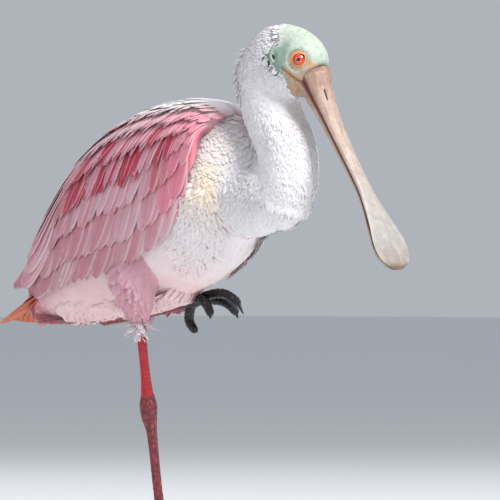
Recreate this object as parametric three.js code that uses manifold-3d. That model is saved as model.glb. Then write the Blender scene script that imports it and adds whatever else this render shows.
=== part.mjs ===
// A roseate spoonbill standing on its right leg, life size, in millimetres, +Z up.
// It faces +X and its left side is +Y. The origin is under the pad of the standing foot.

import * as THREE from "three";
import { mergeVertices } from "three/addons/utils/BufferGeometryUtils.js";
import Module from "manifold-3d";

const wasm = await Module();
wasm.setup();

// Driving dimensions
const GAP = 0.35; // clearance between neighbouring pieces
const MIDLINE = [-10, 10]; // where the bird's own midline stands from the sole, in X and Y
const HEAD_CENTRE = [141.5, 0, 393]; // in the bird's own frame, as all that follows
const HEAD_TURN = 12; // degrees to the bird's left
const EYE_RADIUS = 6.4;
const VANE_THICKNESS = 0.6;
const VANE_TILT = 0.5; // how far a wing feather's upper edge stands over its lower one, each way
const ROOT_DEPTH = -5.4; // how deep a wing feather's root is sunk under the wing's outline
const TAIL_FEATHERS = 12;
const TAIL_LENGTH = 60;
const TAIL_SPREAD = 22; // degrees to each side
const TAIL_DIP = 32; // degrees below level
const TAIL_LAYERS = 5;
const SOLE = [10, -10]; // the standing foot's pad
const TOE_LENGTHS = { inner: 66, middle: 80, outer: 70, hind: 32 };
const TOE_ANGLES = { inner: 42, middle: 2, outer: -38, hind: 186 };

// Stations along the trunk: x, top, bottom, half width
const TRUNK = [
  [-150, 226, 194, 9],
  [-138, 240, 190, 16],
  [-120, 262, 188, 24],
  [-100, 287, 187, 32],
  [-70, 318, 189, 43],
  [-30, 345, 195, 51],
  [10, 358, 203, 54],
  [50, 362, 214, 53],
  [80, 358, 232, 48],
  [98, 348, 252, 39],
  [110, 335, 272, 27],
  [117, 322, 290, 14],
];

// The outline of a folded wing: x, top, lower edge, distance from the midline
const WING = [
  [-168, 217, 211, 13],
  [-145, 241, 206, 22],
  [-125, 265, 207, 31],
  [-100, 295, 209, 41],
  [-70, 326, 214, 52],
  [-30, 351, 221, 59],
  [10, 364, 231, 61],
  [36, 367, 243, 61],
  [54, 368, 254, 60],
  [70, 366, 276, 58],
  [84, 361, 292, 56],
  [95, 350, 318, 49],
];

// The tiers of wing feathers, first and last of each: root and tip as x and the way round, half width,
// and height off the wing's outline
const WING_TIERS = {
  primaries: { count: 2, root: [[-86, 0.62], [-98, 0.5]], tip: [[-152, 0.84], [-166, 0.52]], wide: [9, 8], height: -4.2 },
  secondaries: { count: 9, root: [[75, 0.58], [-84, 0.6]], tip: [[58, 1], [-132, 0.99]], wide: [11.8, 11.8], height: -2.8 },
  greater: { count: 8, root: [[79, 0.44], [-70, 0.48]], tip: [[68, 0.83], [-104, 0.83]], wide: [11.4, 11.4], height: -0.9 },
  median: { count: 8, root: [[83, 0.31], [-58, 0.35]], tip: [[76, 0.64], [-84, 0.64]], wide: [10.5, 10.5], height: 1 },
  lesser: { count: 7, root: [[86, 0.2], [-42, 0.24]], tip: [[80, 0.46], [-66, 0.47]], wide: [11, 11], height: 2.8 },
  marginal: { count: 5, root: [[86, 0.11], [-26, 0.14]], tip: [[84, 0.3], [-48, 0.3]], wide: [13, 13], height: 4.2 },
  tertials: { count: 4, root: [[-42, 0.15], [-72, 0.42]], tip: [[-124, 0.22], [-140, 0.7]], wide: [9, 10.5], height: 2.6 },
  scapulars: { count: 4, root: [[52, 0.075], [-30, 0.09]], tip: [[10, 0.15], [-86, 0.19]], wide: [7.5, 8.5], height: 5.6 },
};

// Stations of the head: forward, height, half height, half width, tilt of the section below level
const HEAD = [
  [-46, 386, 5, 4, 0],
  [-42, 386, 15, 12, 0],
  [-31, 388, 27, 19.5, 0],
  [-15, 393, 33.5, 23, 0],
  [0, 395, 32.5, 23.5, 0],
  [11, 394, 30, 22.5, 10],
  [19, 390.5, 27, 20, 22],
  [24, 386, 23.5, 17.5, 33],
  [25.7, 381.6, 20.6, 15.2, 40.6],
];

// Stations of the bill: part of its length, half width, upper depth, lower depth
const BILL = [
  [0, 15, 13, 11.5],
  [0.08, 13, 11.5, 9.5],
  [0.2, 10.5, 8.2, 6.5],
  [0.35, 9.2, 6.2, 5.2],
  [0.5, 9, 5, 4.6],
  [0.6, 10, 4.4, 4.2],
  [0.69, 14, 4, 3.8],
  [0.78, 19.5, 3.7, 3.4],
  [0.87, 24.2, 3.5, 3.1],
  [0.93, 23.5, 3.1, 2.8],
  [0.975, 17, 2.7, 2.3],
  [1, 7, 2, 1.8],
];

const point = (x, y, z) => new THREE.Vector3(x, y, z);
const radians = (angle) => (angle * Math.PI) / 180;

// A row of a table at x: smooth between its rows, each column on its own
function along(table, x) {
  const last = table.length - 1;
  const held = Math.min(Math.max(x, table[0][0]), table[last][0]);
  let i = 0;
  while (i < last - 1 && held > table[i + 1][0]) i++;
  const [low, high] = [table[i], table[i + 1]];
  const span = high[0] - low[0];
  const t = (held - low[0]) / span;
  const slope = (k, c) => {
    const before = table[Math.max(k - 1, 0)];
    const after = table[Math.min(k + 1, last)];
    return (after[c] - before[c]) / (after[0] - before[0]);
  };
  return low.slice(1).map((value, c) => {
    const rise = high[c + 1] - value;
    const bend = (1 - t) * (slope(i, c + 1) * span - rise) - t * (slope(i + 1, c + 1) * span - rise);
    return value + rise * t + t * (1 - t) * bend;
  });
}

// A closed surface as a solid, turned so that its faces point out
function solid(points, faces) {
  const volume = faces.reduce((sum, [a, b, c]) => sum + points[a].dot(points[b].clone().cross(points[c])), 0);
  const turned = volume < 0 ? faces.map(([a, b, c]) => [a, c, b]) : faces;
  return new wasm.Manifold(
    new wasm.Mesh({
      numProp: 3,
      vertProperties: new Float32Array(points.flatMap((p) => p.toArray())),
      triVerts: new Uint32Array(turned.flat()),
    }),
  );
}

// A three.js geometry as a solid
function solidOf(geometry) {
  const bare = geometry.clone();
  bare.deleteAttribute("normal");
  bare.deleteAttribute("uv");
  const merged = mergeVertices(bare, 1e-4);
  return new wasm.Manifold(
    new wasm.Mesh({
      numProp: 3,
      vertProperties: merged.attributes.position.array,
      triVerts: new Uint32Array(merged.index.array),
    }),
  );
}

// A skin over rings of equal count, closed at both ends by a fan
function loft(rings) {
  const n = rings[0].length;
  const points = rings.flat();
  const faces = [];
  for (let i = 0; i + 1 < rings.length; i++)
    for (let j = 0; j < n; j++) {
      const a = i * n + j;
      const b = i * n + ((j + 1) % n);
      faces.push([a, b, b + n], [a, b + n, a + n]);
    }
  for (const [start, first] of [
    [0, true],
    [(rings.length - 1) * n, false],
  ]) {
    const hub = points.length;
    points.push(points.slice(start, start + n).reduce((sum, p) => sum.add(p), point(0, 0, 0)).divideScalar(n));
    for (let j = 0; j < n; j++) {
      const a = start + j;
      const b = start + ((j + 1) % n);
      faces.push(first ? [b, a, hub] : [a, b, hub]);
    }
  }
  return solid(points, faces);
}

// An oval ring about a centre, with the two directions of its plane; fullness under 1 squares it off
function oval(centre, across, up, wide, high, sides, fullness = 1) {
  const soft = (c) => Math.sign(c) * Math.abs(c) ** fullness;
  return Array.from({ length: sides }, (_, j) => {
    const a = (2 * Math.PI * (j + 0.5)) / sides;
    return centre
      .clone()
      .addScaledVector(across, wide * soft(Math.cos(a)))
      .addScaledVector(up, high * soft(Math.sin(a)));
  });
}

// A round limb through stops of x, y, z and radius, with rounded or flat ends
function limb(stops, { steps, sides, grow = 0, round = [true, true], flat = 1 }) {
  const path = new THREE.CatmullRomCurve3(stops.map(([x, y, z]) => point(x, y, z)), false, "catmullrom", 0.5);
  const girth = new THREE.CatmullRomCurve3(stops.map((s) => point(s[3], 0, 0)), false, "catmullrom", 0.5);
  const ring = (t, shift, scale) => {
    const ahead = path.getTangent(t);
    const aside = point(0, 1, 0).addScaledVector(ahead, -ahead.y).normalize();
    const radius = girth.getPoint(t).x + grow;
    const centre = path.getPoint(t).addScaledVector(ahead, shift * radius + (shift ? Math.sign(shift) * grow : 0));
    const up = ahead.clone().cross(aside);
    return oval(centre, aside, up, radius * scale, radius * scale * flat, sides);
  };
  const rings = Array.from({ length: steps + 1 }, (_, i) => ring(i / steps, 0, 1));
  for (const angle of [40, 72]) {
    const [shift, scale] = [Math.sin(radians(angle)), Math.cos(radians(angle))];
    if (round[0]) rings.unshift(ring(0, -shift, scale));
    if (round[1]) rings.push(ring(1, shift, scale));
  }
  return loft(rings);
}

// A round bump or hollow: a ball squeezed to three half sizes, turned about Z and set at a place
function ball(place, sizes, turn = 0, detail = [16, 10]) {
  const geometry = new THREE.SphereGeometry(1, detail[0], detail[1]);
  geometry.scale(...sizes);
  geometry.rotateZ(radians(turn));
  geometry.translate(place.x, place.y, place.z);
  return solidOf(geometry);
}

// The largest closed body of a solid
function largest(whole) {
  return whole.decompose().reduce((best, body) => (body.volume() > best.volume() ? body : best));
}

// The trunk, with its back sloping down to the tail
function trunk(grow = 0) {
  const [first, last] = [TRUNK[0][0], TRUNK[TRUNK.length - 1][0]];
  const stations = 20;
  const rings = Array.from({ length: stations + 1 }, (_, i) => {
    const x = last - (last - first) * (i / stations) ** 1.15;
    const [top, bottom, wide] = along(TRUNK, x);
    const end = i === 0 ? grow : i === stations ? -grow : 0;
    return oval(point(x + end, 0, (top + bottom) / 2), point(0, 1, 0), point(0, 0, 1), wide + grow, (top - bottom) / 2 + grow, 22);
  });
  return loft(rings);
}

// The neck: a run down from the head and a bulge folded back into the breast
function neck(grow = 0) {
  const down = [
    [121, 0, 392, 25],
    [122, 0, 372, 26],
    [130, 0, 350, 25.5],
    [142, 0, 328, 25.5],
    [144, 0, 305, 27],
    [136, 0, 290, 30],
  ];
  const back = [
    [134, 0, 291, 30.5],
    [112, 0, 288, 34],
    [84, 0, 291, 38],
    [60, 0, 296, 38],
  ];
  return limb(down, { steps: 8, sides: 16, grow }).add(limb(back, { steps: 4, sides: 16, grow }));
}

// The head's own directions: forward and to its left
const headForward = point(Math.cos(radians(HEAD_TURN)), Math.sin(radians(HEAD_TURN)), 0);
const headLeft = point(-Math.sin(radians(HEAD_TURN)), Math.cos(radians(HEAD_TURN)), 0);

// A place by the head's own measures: forward of its centre, to the left, and height
const headPoint = (forward, left, height) =>
  point(HEAD_CENTRE[0], HEAD_CENTRE[1], height).addScaledVector(headForward, forward).addScaledVector(headLeft, left);

function skull(grow = 0) {
  const last = HEAD.length - 1;
  const steps = 13;
  const rings = Array.from({ length: steps + 1 }, (_, i) => {
    const place = (i / steps) * last;
    const rows = HEAD.map((row, k) => [k, ...row]);
    const [forward, height, high, wide, tilt] = along(rows, place);
    const up = headForward.clone().multiplyScalar(Math.sin(radians(tilt))).add(point(0, 0, Math.cos(radians(tilt))));
    const shift = i === 0 ? -grow : i === steps ? grow : 0;
    return oval(headPoint(forward + shift, 0, height), headLeft, up, wide + grow, high + grow, 20);
  });
  return loft(rings);
}

// The middle line of the closed bill, from its base down to the tip
const billLine = new THREE.CatmullRomCurve3(
  [
    [25.7, 381.6],
    [40, 354],
    [54.6, 327.6],
    [70.1, 301],
    [82.9, 279],
    [94.5, 258],
    [107.5, 228.5],
  ].map(([forward, height]) => headPoint(forward, 0, height)),
);

// One half of the bill: over (side 1) or under (side -1) the line of the mouth
function mandible(side, grow = 0) {
  const steps = 18;
  const arc = 7;
  const rings = Array.from({ length: steps + 1 }, (_, i) => {
    const part = i / steps;
    const [wide, over, under] = along(BILL, part);
    const depth = side > 0 ? over : under;
    const ahead = billLine.getTangentAt(part);
    const up = ahead.clone().cross(headLeft).normalize();
    const centre = billLine.getPointAt(part).addScaledVector(ahead, i === 0 ? GAP - grow : 0);
    const lip = 0.2 - grow;
    return Array.from({ length: arc + 1 }, (_, j) => {
      const a = (Math.PI * j) / arc;
      const full = Math.abs(Math.sin(a)) ** 0.8;
      return centre
        .clone()
        .addScaledVector(headLeft, Math.cos(a) * (wide + grow))
        .addScaledVector(up, side * (lip + (depth + grow) * (j === 0 || j === arc ? 0.12 : 0.12 + 0.88 * full)));
    }).concat([
      centre.clone().addScaledVector(headLeft, -(wide + grow) * 0.96).addScaledVector(up, side * lip),
      centre.clone().addScaledVector(headLeft, (wide + grow) * 0.96).addScaledVector(up, side * lip),
    ]);
  });
  return loft(rings);
}

// A point on a folded wing: x, how far round from the back to the lower edge, and height off that surface
const TURN = 0.5; // the part of the way round at which the wing leaves the back for the flank
function wingSurface(side, x, round) {
  const [top, low, wide] = along(WING, x);
  const knee = low + (top - low) * 0.52;
  if (round < TURN) {
    const a = (round / TURN) * (Math.PI / 2);
    return point(x, side * wide * Math.sin(a), knee + (top - knee) * Math.cos(a));
  }
  const down = (round - TURN) / (1 - TURN);
  return point(x, side * (wide - 5 * down * down), knee - (knee - low) * down);
}
function wingPoint(side, x, round, off) {
  const step = 0.01;
  const place = wingSurface(side, x, round);
  const behind = wingSurface(side, x + 1, round).sub(wingSurface(side, x - 1, round));
  const below = wingSurface(side, x, round + step).sub(wingSurface(side, x, round - step));
  const out = behind.cross(below).normalize();
  if (out.y * side < 0) out.negate();
  return place.addScaledVector(out, off);
}

// A plate that follows the wing between two limits of x and of the way round
function wingPlate(side, [front, rear], [upper, lower], [inner, outer], [columns, rows]) {
  const grid = (off) =>
    Array.from({ length: columns + 1 }, (_, i) =>
      Array.from({ length: rows + 1 }, (_, j) => {
        const x = front + ((rear - front) * i) / columns;
        return wingPoint(side, x, upper + ((lower - upper) * j) / rows, off);
      }),
    );
  const [inside, outside] = [grid(inner), grid(outer)];
  return loft(inside.map((row, i) => [...row, ...outside[i].slice().reverse()]));
}

// A feather's vane as a thin blade over rows of four corners, split alike above and below
function blade(rows) {
  const faces = [[0, 1, 2], [0, 2, 3]];
  for (let i = 0; i + 1 < rows.length; i++) {
    const [a, b] = [4 * i, 4 * i + 4];
    faces.push([a, b + 1, a + 1], [a, b, b + 1], [a + 3, a + 2, b + 2], [a + 3, b + 2, b + 3]);
    faces.push([a + 1, b + 1, b + 2], [a + 1, b + 2, a + 2], [a, a + 3, b + 3], [a, b + 3, b]);
  }
  const end = 4 * (rows.length - 1);
  faces.push([end, end + 2, end + 1], [end, end + 3, end + 2]);
  return solid(rows.flat(), faces);
}

// A vane along a line of places, each with the way out of the surface; one edge lies a little higher than the other
const VANE_SHAPE = [
  [0, 0.4, 1],
  [0.27, 0.86, 1],
  [0.74, 0.96, 0.9],
  [1, 0.34, 0.8],
];
function vane(place, out, wide, tilt) {
  const rows = VANE_SHAPE.map(([part, breadth, body]) => {
    const step = 0.02;
    const ahead = place(part + step).sub(place(part - step)).normalize();
    const up = out(part);
    const aside = up.clone().cross(ahead).normalize().multiplyScalar(wide * breadth);
    const corner = (edge, face) =>
      place(part).addScaledVector(aside, edge).addScaledVector(up, edge * tilt * breadth + (face * body * VANE_THICKNESS) / 2);
    return [corner(-1, 1), corner(1, 1), corner(1, -1), corner(-1, -1)];
  });
  return blade(rows);
}

const mix = (from, to, part) => from + (to - from) * part;

// How far a feather has come up out of its root at a part of its length
const rising = (part) => Math.min(1, Math.max(0, part) / 0.25);

// One feather of a wing, from its root sunk in the wing's plate to its tip
function wingVane(side, tier, part) {
  const [rootX, rootRound] = [0, 1].map((k) => mix(tier.root[0][k], tier.root[1][k], part));
  const [tipX, tipRound] = [0, 1].map((k) => mix(tier.tip[0][k], tier.tip[1][k], part));
  const height = (t) => mix(ROOT_DEPTH, tier.height, rising(t));
  const place = (t) => wingPoint(side, mix(rootX, tipX, t), mix(rootRound, tipRound, t), height(t));
  const out = (t) => {
    const [x, round] = [mix(rootX, tipX, t), mix(rootRound, tipRound, t)];
    return wingPoint(side, x, round, 1).sub(wingPoint(side, x, round, 0));
  };
  return vane(place, out, mix(tier.wide[0], tier.wide[1], part), side * VANE_TILT);
}

// A folded wing: its plate, and its feathers tier over tier
function wing(side) {
  const plate = wingPlate(side, [89, -132], [0.07, 0.74], [-7.5, -3.8], [10, 5]);
  const feathers = Object.values(WING_TIERS).flatMap((tier) =>
    Array.from({ length: tier.count }, (_, i) => wingVane(side, tier, i / (tier.count - 1))),
  );
  return wasm.Manifold.union([plate, ...feathers]);
}

// The room that a folded wing takes, for what lies under it
const wingRoom = (side) => wingPlate(side, [93, -170], [0.03, 1.01], [-8, 5], [18, 8]);

// The tail: a short stump and its feathers in a fan, the middle ones on top
function tail() {
  const stump = loft(
    [
      [-116, 221, 12, 8],
      [-134, 211, 14, 6],
      [-147, 202, 15.5, 4.8],
      [-156, 196.3, 16.5, 4.2],
      [-165, 190.7, 16, 2.6],
    ].map(([x, z, wide, thick]) => oval(point(x, 0, z), point(0, 1, 0), point(-0.4, 0, 0.9), wide, thick, 12)),
  );
  const feathers = Array.from({ length: TAIL_FEATHERS }, (_, i) => {
    const across = (2 * i) / (TAIL_FEATHERS - 1) - 1;
    const lift = TAIL_LAYERS * (1 - Math.abs(across));
    const turn = radians(TAIL_SPREAD * across);
    const ahead = point(-Math.cos(turn), Math.sin(turn), 0).multiplyScalar(Math.cos(radians(TAIL_DIP)));
    ahead.z = -Math.sin(radians(TAIL_DIP));
    const roll = radians(16 * across);
    const out = point(-Math.sin(radians(TAIL_DIP)), Math.sin(roll), Math.cos(radians(TAIL_DIP))).normalize();
    const length = TAIL_LENGTH - 5 * across * across;
    const root = point(-125, 7 * across, 213.5 - 1.6 * Math.abs(across));
    const place = (t) => root.clone().addScaledVector(ahead, t * length).addScaledVector(out, lift * rising(t));
    return vane(place, () => out, 8.2, across > 0 ? -VANE_TILT : VANE_TILT);
  });
  return wasm.Manifold.union([stump, ...feathers]);
}

// A toe lying on the floor: flat below, round above, its claw at the end
const TOE_WIDTH = 4.6;
const TOE_DEPTH = 6.4;
const TOE_START = 11;
function toe(name, grow = 0) {
  const [length, angle] = [TOE_LENGTHS[name], TOE_ANGLES[name]];
  const [wide, high, start] = [TOE_WIDTH + grow, TOE_DEPTH + grow, TOE_START - grow];
  const ahead = point(Math.cos(radians(angle)), Math.sin(radians(angle)), 0);
  const aside = point(-ahead.y, ahead.x, 0);
  const stations = [
    [start / length, 1.05, 1.1],
    [0.22, 0.92, 0.95],
    [0.3, 1, 1],
    [0.42, 0.86, 0.85],
    [0.55, 0.95, 0.9],
    [0.68, 0.8, 0.76],
    [0.8, 0.86, 0.78],
    [0.87, 0.6, 0.55],
    [0.9, 0.36, 0.5],
    [1, 0.1, 0.12],
  ].filter(([part], i) => i === 0 || part > start / length + 0.05);
  const rings = stations.map(([part, w, h]) => {
    const centre = point(SOLE[0], SOLE[1], 0).addScaledVector(ahead, part * length);
    return Array.from({ length: 6 }, (_, j) => {
      const a = (Math.PI * j) / 5;
      return centre
        .clone()
        .addScaledVector(aside, Math.cos(a) * w * wide)
        .add(point(0, 0, j === 0 || j === 5 ? 0 : Math.sin(a) ** 0.7 * h * high));
    });
  });
  return loft(rings);
}

// The pad with its small webs: a low boss spread between the toes
function footPad(grow = 0) {
  const reach = (angle) => {
    const near = Math.min(...["inner", "middle", "outer"].map((name) => Math.abs(angle - TOE_ANGLES[name])));
    const between = angle > TOE_ANGLES.outer && angle < TOE_ANGLES.inner;
    return between ? 17 - 0.12 * near : 9.5;
  };
  const edge = (scale, height) =>
    Array.from({ length: 24 }, (_, j) => {
      const angle = -180 + 15 * j;
      const r = reach(angle) * scale + grow;
      return point(SOLE[0] + Math.cos(radians(angle)) * r, SOLE[1] + Math.sin(radians(angle)) * r, height);
    });
  return loft([edge(1, -grow), edge(1, 1.6), edge(0.72, 4 + grow), edge(0.4, 9.5 + grow)]);
}

// The standing leg: feathered thigh, bare shank, and tarsus with its ankle joint
const CUFF = [8, -35, 190];
const ANKLE = [3, -20, 116];
const thighRight = (grow = 0) =>
  limb(
    [
      [4, -34, 248, 19],
      [5, -35, 226, 18],
      [7, -35.5, 206, 12],
      [...CUFF, 6.5],
    ],
    { steps: 6, sides: 12, grow, round: [true, false] },
  );
const shankRight = (grow = 0) =>
  limb(
    [
      [CUFF[0] + 0.1, CUFF[1] + 0.2, CUFF[2] - 0.6, 4.6],
      [6.5, -30.5, 168, 3.9],
      [4.6, -25, 142, 4],
      [3.4, -21.4, 124.5, 5.4],
    ],
    { steps: 6, sides: 10, grow, round: [false, false] },
  );
const tarsusRight = (grow = 0) =>
  limb(
    [
      [3.3, -21.2, 123.6, 5.9],
      [...ANKLE, 7.2],
      [3.3, -19, 106, 6.4],
      [4.4, -17, 92, 4.3],
      [7, -13.5, 50, 3.8],
      [9.6, -10.5, 18, 4.2],
      [10, -10, 9.4, 4.9],
    ],
    { steps: 15, sides: 10, grow, round: [false, false] },
  );

// The drawn-up leg, folded along the belly
const HEEL = [-96, 26, 192];
const TOE_ROOT = [14, 20, 203];
const thighLeft = (grow = 0) =>
  limb(
    [
      [14, 36, 240, 18],
      [-6, 37, 226, 17],
      [-28, 35.5, 212, 12],
      [-46, 33.5, 204, 7],
    ],
    { steps: 8, sides: 14, grow, round: [true, false] },
  );
const shankLeft = (grow = 0) =>
  limb(
    [
      [-46.6, 33.4, 203.8, 4.6],
      [-66, 31, 199, 3.9],
      [-84, 28.5, 195.6, 4.3],
    ],
    { steps: 4, sides: 10, grow, round: [false, false] },
  );
const tarsusLeft = (grow = 0) =>
  limb(
    [
      [-85, 28.2, 195.2, 5.2],
      [-93, 26.6, 192.6, 6.8],
      [-94, 24, 187.6, 6.2],
      [-84, 20.5, 186.4, 4.5],
      [-50, 18.6, 190, 3.8],
      [-14, 19, 195.5, 3.9],
      [6, 19.8, 200, 4.6],
    ],
    { steps: 14, sides: 10, grow, round: [false, false] },
  );
const padLeft = (grow = 0) =>
  limb(
    [
      [6.6, 19.9, 200.2, 5],
      [...TOE_ROOT, 7.4],
      [20, 20, 203.4, 5.6],
    ],
    { steps: 6, sides: 12, grow, round: [false, true] },
  );

// The hanging toes of the drawn-up foot: each a bent finger with its claw
const HANGING = {
  middle: [[20, 20, 204], [46, 20, 208.5], [64, 19.6, 203], [74, 19.4, 191.5]],
  inner: [[19, 17, 203.5], [37, 10.5, 202], [46, 8, 194], [48, 7, 187.5]],
  outer: [[19, 23.5, 203.5], [39, 29.5, 202], [51, 31, 195], [55, 32, 188]],
  hind: [[12, 20.5, 199], [7, 23, 187], [11, 24, 179.5], [16, 24, 176.5]],
};
function hangingToe(places, grow = 0) {
  const girths = [4, 3.9, 3.4, 0.7];
  return limb(
    places.map((place, i) => [...place, girths[i]]),
    { steps: 6, sides: 6, grow, round: [false, false] },
  );
}

// Pieces in the bird's own frame, each cut clear of what it grows from
const wings = { right: wing(-1), left: wing(1) };
const neckWhole = neck();
const skullWhole = skull();
const eyes = { right: headPoint(24, -12.2, 400), left: headPoint(24, 12.2, 400) };

// Ear hollows, eyelids and the corner of the mouth on the head
function head() {
  let shape = skullWhole;
  for (const side of [-1, 1]) {
    const lid = new THREE.TorusGeometry(5.9, 1.25, 5, 14);
    lid.rotateX(Math.PI / 2);
    lid.rotateZ(radians(HEAD_TURN));
    const seat = headPoint(24, side * 16.8, 400);
    lid.translate(seat.x, seat.y, seat.z);
    shape = shape.add(solidOf(lid));
    const rim = new THREE.TorusGeometry(4.6, 1.3, 4, 10);
    rim.scale(0.75, 1.25, 1);
    rim.rotateX(Math.PI / 2);
    rim.rotateZ(radians(HEAD_TURN));
    const ear = headPoint(3, side * 23, 400);
    rim.translate(ear.x, ear.y, ear.z);
    shape = shape.add(solidOf(rim)).subtract(ball(ear, [2.2, 4.5, 4.6], HEAD_TURN, [8, 6]));
    const gape = [
      [11, 21.8, 391],
      [18, 20.4, 386],
      [25.5, 17, 380],
      [31, 15.5, 374],
    ].map(([forward, left, height]) => [...headPoint(forward, side * left, height).toArray(), 1]);
    shape = shape.subtract(limb(gape, { steps: 3, sides: 5 }));
  }
  for (const eye of Object.values(eyes)) shape = shape.subtract(ball(eye, Array(3).fill(EYE_RADIUS + GAP), 0, [14, 9]));
  return largest(shape.subtract(mandible(1, GAP)).subtract(mandible(-1, GAP)));
}

function billUpper() {
  let shape = mandible(1);
  for (const side of [-1, 1]) {
    const line = [0.07, 0.1, 0.13].map((part, i) => {
      const up = billLine.getTangentAt(part).cross(headLeft).normalize();
      const place = billLine.getPointAt(part).addScaledVector(headLeft, side * (5.2 - 0.7 * i));
      return [...place.addScaledVector(up, 12.2 - 1.1 * i).toArray(), 1.1];
    });
    shape = shape.subtract(limb(line, { steps: 3, sides: 6 }));
  }
  return largest(shape.subtract(skull(GAP)));
}

const trunkWhole = trunk();
const trunkClear = trunk(GAP);
const thighs = { right: thighRight(), left: thighLeft() };

const pieces = {
  torso: largest(trunkWhole.subtract(tarsusLeft(GAP)).subtract(padLeft(GAP)).subtract(shankLeft(GAP))),
  neck: largest(neckWhole.subtract(trunkClear).subtract(skull(GAP))),
  head: head(),
  bill_upper: billUpper(),
  bill_lower: largest(mandible(-1).subtract(skull(GAP))),
  eye_right: ball(eyes.right, Array(3).fill(EYE_RADIUS), 0, [14, 9]),
  eye_left: ball(eyes.left, Array(3).fill(EYE_RADIUS), 0, [14, 9]),
  wing_right: largest(wings.right.subtract(trunkClear).subtract(neck(GAP)).subtract(thighRight(GAP))),
  wing_left: largest(wings.left.subtract(trunkClear).subtract(neck(GAP)).subtract(thighLeft(GAP))),
  tail: largest(tail().subtract(trunkClear).subtract(wingRoom(-1)).subtract(wingRoom(1))),
  thigh_right: largest(thighs.right.subtract(trunkClear).subtract(shankRight(GAP))),
  shank_right: shankRight(),
  tarsus_right: tarsusRight(),
  foot_right: largest(footPad().subtract(tarsusRight(GAP))),
  thigh_left: largest(
    thighs.left.subtract(trunkClear).subtract(tarsusLeft(GAP)).subtract(padLeft(GAP)).subtract(shankLeft(GAP)),
  ),
  shank_left: shankLeft(),
  tarsus_left: largest(tarsusLeft().subtract(shankLeft(GAP))),
  foot_left: largest(padLeft().subtract(tarsusLeft(0))),
};
for (const name of Object.keys(TOE_LENGTHS)) {
  const shape = toe(name).subtract(footPad(GAP));
  pieces["toe_right_" + name] = largest(name === "middle" ? shape : shape.subtract(toe("middle", GAP)));
}
for (const [name, places] of Object.entries(HANGING)) {
  const shape = hangingToe(places).subtract(padLeft(GAP));
  const neighbour = name === "hind" ? tarsusLeft(GAP) : hangingToe(HANGING.middle, GAP);
  const clear = name === "middle" ? shape : shape.subtract(neighbour);
  pieces["toe_left_" + name] = largest(clear);
}

const FINISH = {
  torso: [0xf3e6e4, 0.9],
  neck: [0xf4f0ea, 0.9],
  head: [0xc9cf9f, 0.6],
  bill_upper: [0xd3c7b0, 0.5],
  bill_lower: [0xc9bda6, 0.5],
  eye: [0xb3201c, 0.1],
  wing: [0xf0a3ac, 0.7],
  tail: [0xe79450, 0.7],
  thigh: [0xf4b9c0, 0.9],
  shank: [0xb03a3c, 0.6],
  tarsus: [0x7d3f42, 0.6],
  foot: [0x2c2326, 0.6],
  toe: [0x2c2326, 0.6],
};

const spoonbill = new THREE.Group();
spoonbill.name = "roseate_spoonbill";
const body = new THREE.Group();
body.position.set(MIDLINE[0], MIDLINE[1], 0);
spoonbill.add(body);
for (const [name, piece] of Object.entries(pieces)) {
  const { vertProperties, triVerts } = piece.getMesh();
  const geometry = new THREE.BufferGeometry();
  geometry.setAttribute("position", new THREE.BufferAttribute(vertProperties, 3));
  geometry.setIndex(new THREE.BufferAttribute(triVerts, 1));
  geometry.computeVertexNormals();
  const [color, roughness] = FINISH[name] ?? FINISH[name.split("_")[0]];
  const mesh = new THREE.Mesh(geometry, new THREE.MeshStandardMaterial({ color, roughness, metalness: 0 }));
  mesh.name = name;
  body.add(mesh);
}

export default spoonbill;
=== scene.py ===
import math

import bpy
import numpy as np
from bpy.props import FloatProperty, FloatVectorProperty, IntProperty, PointerProperty
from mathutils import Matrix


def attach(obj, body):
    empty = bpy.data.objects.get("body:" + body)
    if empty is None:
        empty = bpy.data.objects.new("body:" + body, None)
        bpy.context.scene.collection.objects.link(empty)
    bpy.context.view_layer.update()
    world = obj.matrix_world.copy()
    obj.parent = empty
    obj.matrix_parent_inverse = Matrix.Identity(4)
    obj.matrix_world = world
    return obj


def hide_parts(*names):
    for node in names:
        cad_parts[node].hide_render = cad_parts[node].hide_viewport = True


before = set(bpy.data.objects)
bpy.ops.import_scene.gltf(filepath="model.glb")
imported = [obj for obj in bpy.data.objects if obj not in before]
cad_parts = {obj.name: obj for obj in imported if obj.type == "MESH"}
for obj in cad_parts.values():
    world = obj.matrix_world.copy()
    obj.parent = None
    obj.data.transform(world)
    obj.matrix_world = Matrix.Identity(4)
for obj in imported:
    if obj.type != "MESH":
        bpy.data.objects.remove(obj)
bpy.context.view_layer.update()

bl_info = {
    "name": "Roseate spoonbill",
    "version": (1, 0, 0),
    "blender": (4, 5, 0),
    "location": "3D View > Sidebar > Spoonbill",
    "description": "A life-size roseate spoonbill on one leg, with feathers, bill, legs and stage",
    "category": "Object",
}

# Places and sizes of the bird, in millimetres in its own frame, as the solids have them
SOLE = np.array([10.0, -10.0, 0.0])
HEAD_CENTRE = np.array([141.5, 0.0])
HEAD_TURN = math.radians(12)
HEAD_AHEAD = np.array([math.cos(HEAD_TURN), math.sin(HEAD_TURN), 0.0])
HEAD_LEFT = np.array([-math.sin(HEAD_TURN), math.cos(HEAD_TURN), 0.0])
UP = np.array([0.0, 0.0, 1.0])

# The trunk: x, top, bottom, half width
TRUNK = np.array([
    [-150, 226, 194, 9], [-138, 240, 190, 16], [-120, 262, 188, 24], [-100, 287, 187, 32],
    [-70, 318, 189, 43], [-30, 345, 195, 51], [10, 358, 203, 54], [50, 362, 214, 53],
    [80, 358, 232, 48], [98, 348, 252, 39], [110, 335, 272, 27], [117, 322, 290, 14],
], float)

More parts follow.
